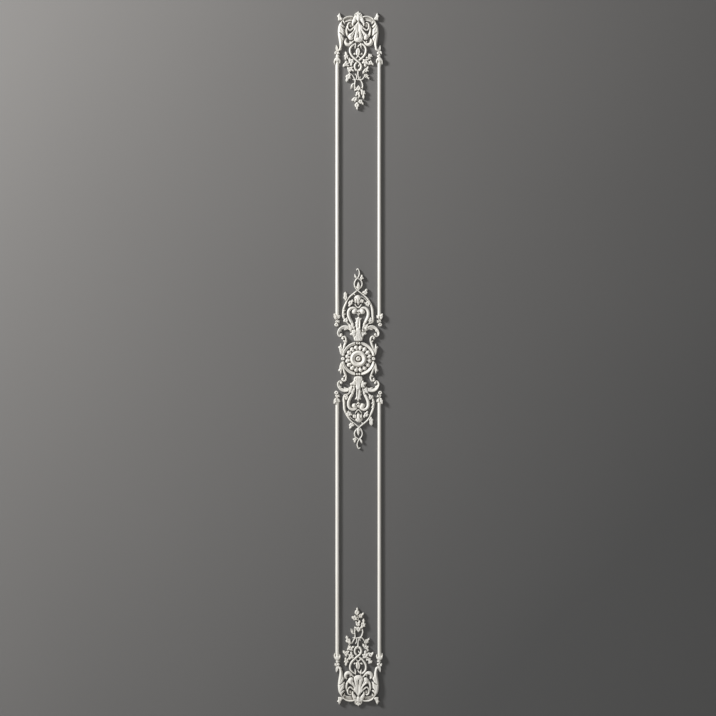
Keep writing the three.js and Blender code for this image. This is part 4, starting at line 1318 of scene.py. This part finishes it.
@dataclass(frozen=True)
class Rod:
    """A half-round moulding between a calyx and a finial, both of which take its ends."""

    low: float = FINIAL_MOUTH - ROD_TUCK
    high: float = END_ROOT + CALYX_MOUTH + ROD_TUCK
    cheek: float = 2.0
    sides: int = 56
    sharp: float = 40.0

    def build(self, name: str, side: int, level: int, paint: bpy.types.Material) -> bpy.types.Object:
        """Sweeps the rod with nodes.

        Args:
            name: Name of the piece.
            side: -1 on the left, 1 on the right.
            level: 1 for the upper pair, -1 for the lower.
            paint: Its material.

        Returns:
            The piece.
        """
        tree = NodeTree("half_round_" + name)
        low = tree.number("Low", "Float", self.low * MM)
        high = tree.number("High", "Float", self.high * MM)
        width = tree.number("Width", "Float", ROD_WIDTH * MM)
        circle = tree.node("CurvePrimitiveCircle", {"Resolution": self.sides, "Radius": 1.0})
        place = tree.node("ShaderNodeSeparateXYZ", {0: tree.node("InputPosition").outputs[0]})
        across = tree.node("ShaderNodeMath", {0: place.outputs["X"], 1: width}, operation="MULTIPLY")
        halved = tree.node("ShaderNodeMath", {0: across.outputs[0], 1: 0.5}, operation="MULTIPLY")
        bow = tree.node(
            "ShaderNodeMath",
            {0: place.outputs["Y"], 1: (ROD_DEPTH - self.cheek) * MM, 2: -self.cheek * MM},
            operation="MULTIPLY_ADD",
        )
        in_front = tree.node("ShaderNodeMath", {0: place.outputs["Y"], 1: 0.001}, operation="LESS_THAN")
        bowed = {0: bow.outputs[0], 1: in_front.outputs[0]}
        depth = tree.node("ShaderNodeMath", bowed, operation="MULTIPLY")
        moved = tree.node("ShaderNodeCombineXYZ", {"X": halved.outputs[0], "Y": depth.outputs[0]})
        profile = tree.node("SetPosition", {"Geometry": circle.outputs[0], "Position": moved.outputs[0]})
        start = tree.node("ShaderNodeCombineXYZ", {"X": side * ROD_AXIS * MM, "Z": low})
        end = tree.node("ShaderNodeCombineXYZ", {"X": side * ROD_AXIS * MM, "Z": high})
        line = tree.node("CurvePrimitiveLine", {"Start": start.outputs[0], "End": end.outputs[0]})
        swept = tree.node(
            "CurveToMesh", {"Curve": line.outputs[0], "Profile Curve": profile.outputs[0], "Fill Caps": True}
        )
        tree.finish(swept.outputs[0], paint)
        ends = sorted((level * self.low * MM, level * self.high * MM))
        mesh = tree.run({"Low": ends[0], "High": ends[1], "Width": ROD_WIDTH * MM})
        mesh.name = name
        Skin.close(mesh)
        mesh.set_sharp_from_angle(angle=math.radians(self.sharp))
        return add_object(name, mesh)


class Value:
    """A number in a shader, so that shader maths reads as plain arithmetic."""

    def __init__(self, tree: bpy.types.NodeTree, socket: bpy.types.NodeSocket | float) -> None:
        """Wraps a socket.

        Args:
            tree: The material's tree.
            socket: The socket or a plain number.
        """
        self.tree = tree
        self.socket = socket

    def _math(self, operation: str, *others: "Value | float") -> "Value":
        """Adds a maths node.

        Args:
            operation: What it does.
            *others: What it does that with.

        Returns:
            The result.
        """
        links = dict(enumerate((self, *others)))
        made = add_node(self.tree, "ShaderNodeMath", links, {"operation": operation})
        return Value(self.tree, made.outputs[0])

    def __add__(self, other: "Value | float") -> "Value":
        """Sum."""
        return self._math("ADD", other)

    def __sub__(self, other: "Value | float") -> "Value":
        """Difference."""
        return self._math("SUBTRACT", other)

    def __mul__(self, other: "Value | float") -> "Value":
        """Product."""
        return self._math("MULTIPLY", other)

    def clamp(self) -> "Value":
        """Limits the value to 0 and 1.

        Returns:
            The limited value.
        """
        made = self._math("ADD", 0.0)
        made.socket.node.use_clamp = True
        return made


@dataclass
class Shader:
    """A principled material under construction."""

    name: str

    def __post_init__(self) -> None:
        """Makes the material."""
        self.material = bpy.data.materials.new(self.name)
        self.material.use_nodes = True
        self.tree = self.material.node_tree
        self.surface = self.tree.nodes["Principled BSDF"]

    def node(self, kind: str, links: dict | None = None, **settings: object) -> bpy.types.Node:
        """Adds any shader node.

        Args:
            kind: Its type, without the leading ShaderNode.
            links: Values or sockets for its inputs.
            **settings: Properties of the node.

        Returns:
            The node.
        """
        return add_node(self.tree, "ShaderNode" + kind, links or {}, settings)

    def noise(self, scale: float, detail: float = 3.0) -> Value:
        """Adds noise in object coordinates.

        Args:
            scale: Its scale, per metre.
            detail: Its detail.

        Returns:
            The noise, round 0.5.
        """
        place = self.node("TexCoord")
        made = self.node("TexNoise", {"Vector": place.outputs["Object"], "Scale": scale, "Detail": detail})
        return Value(self.tree, made.outputs["Fac"])

    def blend(
        self, share: Value, first: Colour | bpy.types.NodeSocket, second: Colour
    ) -> bpy.types.NodeSocket:
        """Blends two colours.

        Args:
            share: Share of the second.
            first: The first colour.
            second: The second colour.

        Returns:
            The blended colour.
        """
        plugs = [c if isinstance(c, bpy.types.NodeSocket) else (*c, 1) for c in (first, second)]
        return self.node("Mix", {0: share, 6: plugs[0], 7: plugs[1]}, data_type="RGBA").outputs[2]

    def colour(self, socket: bpy.types.NodeSocket) -> None:
        """Sets the base colour.

        Args:
            socket: The colour.
        """
        self.tree.links.new(socket, self.surface.inputs["Base Color"])

    def roughness(self, value: Value) -> None:
        """Sets the roughness.

        Args:
            value: The roughness.
        """
        self.tree.links.new(value.socket, self.surface.inputs["Roughness"])

    def bump(self, height: Value, strength: float, distance: float) -> None:
        """Sets a bump.

        Args:
            height: The height.
            strength: Its strength.
            distance: Its depth, in metres.
        """
        made = self.node("Bump", {"Height": height, "Strength": strength, "Distance": distance})
        self.tree.links.new(made.outputs[0], self.surface.inputs["Normal"])


@dataclass(frozen=True)
class CastPaint:
    """Off-white satin paint over a cast composition, with painted shade and a little dust in the recesses."""

    light: Colour = (0.86, 0.845, 0.80)
    warm: Colour = (0.80, 0.77, 0.70)
    # Near-black brown of the painted shade, with some dust, in recesses and on low ground.
    shade_and_dust_colour: Colour = (0.085, 0.07, 0.05)
    satin: float = 0.46
    patch_scale: float = 9.0
    patch_swing: float = 1.6
    patch_share: float = 0.4
    shade_and_dust_scale: float = 160.0
    shade_and_dust_start: float = 0.36
    shade_and_dust_gain: float = 1.7
    shade_and_dust_swing: float = 0.22
    most_shade_and_dust: float = 0.92
    sheen_scale: float = 60.0
    sheen_swing: float = 0.16
    grain_scale: float = 420.0
    grain_depth: float = 0.0006
    grain_strength: float = 0.18
    brush_scale: float = 90.0
    brush_share: float = 0.6

    def make(self, name: str, has_shade_and_dust: bool) -> bpy.types.Material:
        """Makes the material.

        Args:
            name: Its name.
            has_shade_and_dust: Whether the piece carries its painted shade and dust as an attribute.

        Returns:
            The material.
        """
        shader = Shader(name)
        drift = (shader.noise(self.patch_scale, 2) - 0.5) * self.patch_swing + self.patch_share
        colour = shader.blend(drift.clamp(), self.light, self.warm)
        # Painted shade with some dust: darkens recesses and low ground towards near-black brown.
        if has_shade_and_dust:
            found = shader.node("Attribute", attribute_name="shade_and_dust")
            deep = Value(shader.tree, found.outputs["Fac"])
            shade_and_dust_base = (deep - self.shade_and_dust_start) * self.shade_and_dust_gain
            shade_and_dust_mix = shade_and_dust_base + (shader.noise(self.shade_and_dust_scale) - 0.5) * self.shade_and_dust_swing
            colour = shader.blend(shade_and_dust_mix.clamp() * self.most_shade_and_dust, colour, self.shade_and_dust_colour)
        shader.colour(colour)
        shader.roughness((shader.noise(self.sheen_scale) - 0.5) * self.sheen_swing + self.satin)
        grain = shader.noise(self.grain_scale, 4) + shader.noise(self.brush_scale) * self.brush_share
        shader.bump(grain, self.grain_strength, self.grain_depth)
        return shader.material


@dataclass(frozen=True)
class Lamp:
    """A soft light that looks at the middle of the object, with its place and side in metres."""

    name: str
    place: Place
    size: float
    power: float

    def build(self) -> None:
        """Makes the light."""
        lamp = bpy.data.lights.new(self.name, "AREA")
        lamp.size, lamp.energy = self.size, self.power
        holder = add_object(self.name, lamp)
        holder.location = self.place
        holder.rotation_euler = Vector(self.place).to_track_quat("Z", "Y").to_euler()


@dataclass(frozen=True)
class Studio:
    """Wall, floor, lights and camera, in metres. None of it is part of the object."""

    distance: float = 14.9
    aim: Point = (-1.5, 2.8)
    wall_gap: float = 0.0015
    wall_half: float = 2.2
    wall_roughness: float = 0.8
    floor_level: float = -1.5
    floor_half: float = 4.0
    floor_near: float = -5.0
    floor_far: float = 3.0
    floor_roughness: float = 0.7
    # Ends of the painted light on the wall: shaded at the lower right, lit at the upper left.
    wall_painted_shade: Colour = (0.10, 0.10, 0.10)
    wall_painted_light: Colour = (0.21, 0.203, 0.196)
    painted_falloff_slope: float = 0.24
    painted_falloff_level: float = 0.42
    cloud_scale: float = 1.2
    cloud_swing: float = 0.1
    floor_grey: Colour = (0.62, 0.61, 0.59)
    sky: Colour = (1.0, 0.99, 0.97)
    sky_strength: float = 0.09
    lamps: tuple[Lamp, ...] = (
        Lamp("key", (-5.2, -2.7, 3.4), 1.1, 560),
        Lamp("fill", (-1.5, -6.0, 2.0), 2.0, 60),
    )

    def build(self) -> None:
        """Makes the studio."""
        self.wall()
        self.floor()
        for lamp in self.lamps:
            lamp.build()
        self.world()
        self.camera()

    def world(self) -> None:
        """Sets the even light from all round, and plain colours in the picture."""
        world = bpy.data.worlds.new("studio")
        world.use_nodes = True
        background = world.node_tree.nodes["Background"]
        background.inputs["Color"].default_value = (*self.sky, 1)
        background.inputs["Strength"].default_value = self.sky_strength
        bpy.context.scene.world = world
        bpy.context.scene.view_settings.view_transform = "Standard"

    def plane(self, name: str, outline: Sequence[Place], paint: bpy.types.Material) -> None:
        """Makes a flat backdrop.

        Args:
            name: Its name.
            outline: Its corners.
            paint: Its material.
        """
        mesh = bpy.data.meshes.new(name)
        mesh.from_pydata(outline, [], [tuple(range(len(outline)))])
        mesh.materials.append(paint)
        plane = add_object(name, mesh)
        plane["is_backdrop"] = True

    def wall(self) -> None:
        """Makes the grey wall just behind the object, clear from behind, with painted light over it."""
        shader = Shader("wall")
        place = shader.node("TexCoord")
        split = shader.node("SeparateXYZ", {"Vector": place.outputs["Object"]})
        x, z = (Value(shader.tree, split.outputs[axis]) for axis in ("X", "Z"))
        clouds = (shader.noise(self.cloud_scale, 1) - 0.5) * self.cloud_swing
        # Painted light: the wall is lighter to the upper left and darker to the lower right, as the key lamp
        # falls.
        painted_falloff = (z - x) * self.painted_falloff_slope + self.painted_falloff_level + clouds
        shader.colour(shader.blend(painted_falloff.clamp(), self.wall_painted_shade, self.wall_painted_light))
        shader.surface.inputs["Roughness"].default_value = self.wall_roughness
        side = shader.node("NewGeometry").outputs["Backfacing"]
        clear = shader.node("BsdfTransparent").outputs[0]
        mixed = shader.node("MixShader", {0: side, 1: shader.surface.outputs[0], 2: clear})
        shader.tree.links.new(mixed.outputs[0], shader.tree.nodes["Material Output"].inputs["Surface"])
        low, half, y = self.floor_level, self.wall_half, self.wall_gap
        outline = [(-half, y, low), (half, y, low), (half, y, half), (-half, y, half)]
        self.plane("backdrop", outline, shader.material)

    def floor(self) -> None:
        """Makes the pale floor."""
        shader = Shader("floor")
        shader.surface.inputs["Base Color"].default_value = (*self.floor_grey, 1)
        shader.surface.inputs["Roughness"].default_value = self.floor_roughness
        half, z, near, far = self.floor_half, self.floor_level, self.floor_near, self.floor_far
        outline = [(-half, near, z), (half, near, z), (half, far, z), (-half, far, z)]
        self.plane("floor", outline, shader.material)

    def camera(self) -> None:
        """Makes the camera, square on to the wall and far away."""
        lens = bpy.data.cameras.new("camera")
        lens.lens = lens.sensor_width * self.distance / (PHOTO_PIXELS * PIXEL * MM)
        lens.clip_end = 100
        holder = add_object("camera", lens)
        holder.location = (self.aim[0] * MM, -self.distance, self.aim[1] * MM)
        holder.rotation_euler = (math.pi / 2, 0, 0)
        bpy.context.scene.camera = holder


def keep(piece: bpy.types.Object, node: str) -> None:
    """Makes a piece stand for its CAD node.

    Args:
        piece: The piece.
        node: The node.
    """
    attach(piece, "root")
    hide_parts(node)
    log.info("%s: %d faces", piece.name, len(piece.data.polygons))


def corners() -> list[list[float]]:
    """Reads the bounds of what is shown.

    Returns:
        The lowest and the highest corner.
    """
    return [list(corner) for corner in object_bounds()]


def main() -> None:
    """Builds the panel and its studio."""
    logging.basicConfig(level=logging.INFO, format="%(message)s")
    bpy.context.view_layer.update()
    cast = CastPaint().make("cast_paint", True)
    plain = CastPaint().make("rod_paint", False)

    end = EndOrnament()
    end.draw()
    keep(Skin(end.relief, (0, END_ROOT)).build("end_casting_top", cast), "top_ornament")
    keep(Skin(end.relief, (0, -END_ROOT), (1, -1)).build("end_casting_bottom", cast), "bottom_ornament")
    centre = CentreOrnament()
    centre.draw()
    keep(Skin(centre.relief).build("centre_casting", cast), "centre_ornament")

    finial = Finial()
    finial.draw()
    for side, left in ((-1, "left"), (1, "right")):
        for level, upper in ((1, "upper"), (-1, "lower")):
            skin = Skin(finial.relief, (side * ROD_AXIS, level * FINIAL_MOUTH), (-side, level))
            keep(skin.build(f"finial_casting_{upper}_{left}", cast), f"finial_{upper}_{left}")
            keep(Rod().build(f"rod_moulding_{upper}_{left}", side, level, plain), f"rod_{upper}_{left}")

    Studio().build()
    log.info("bounds after %s", corners())


if __name__ == "__main__":
    main()
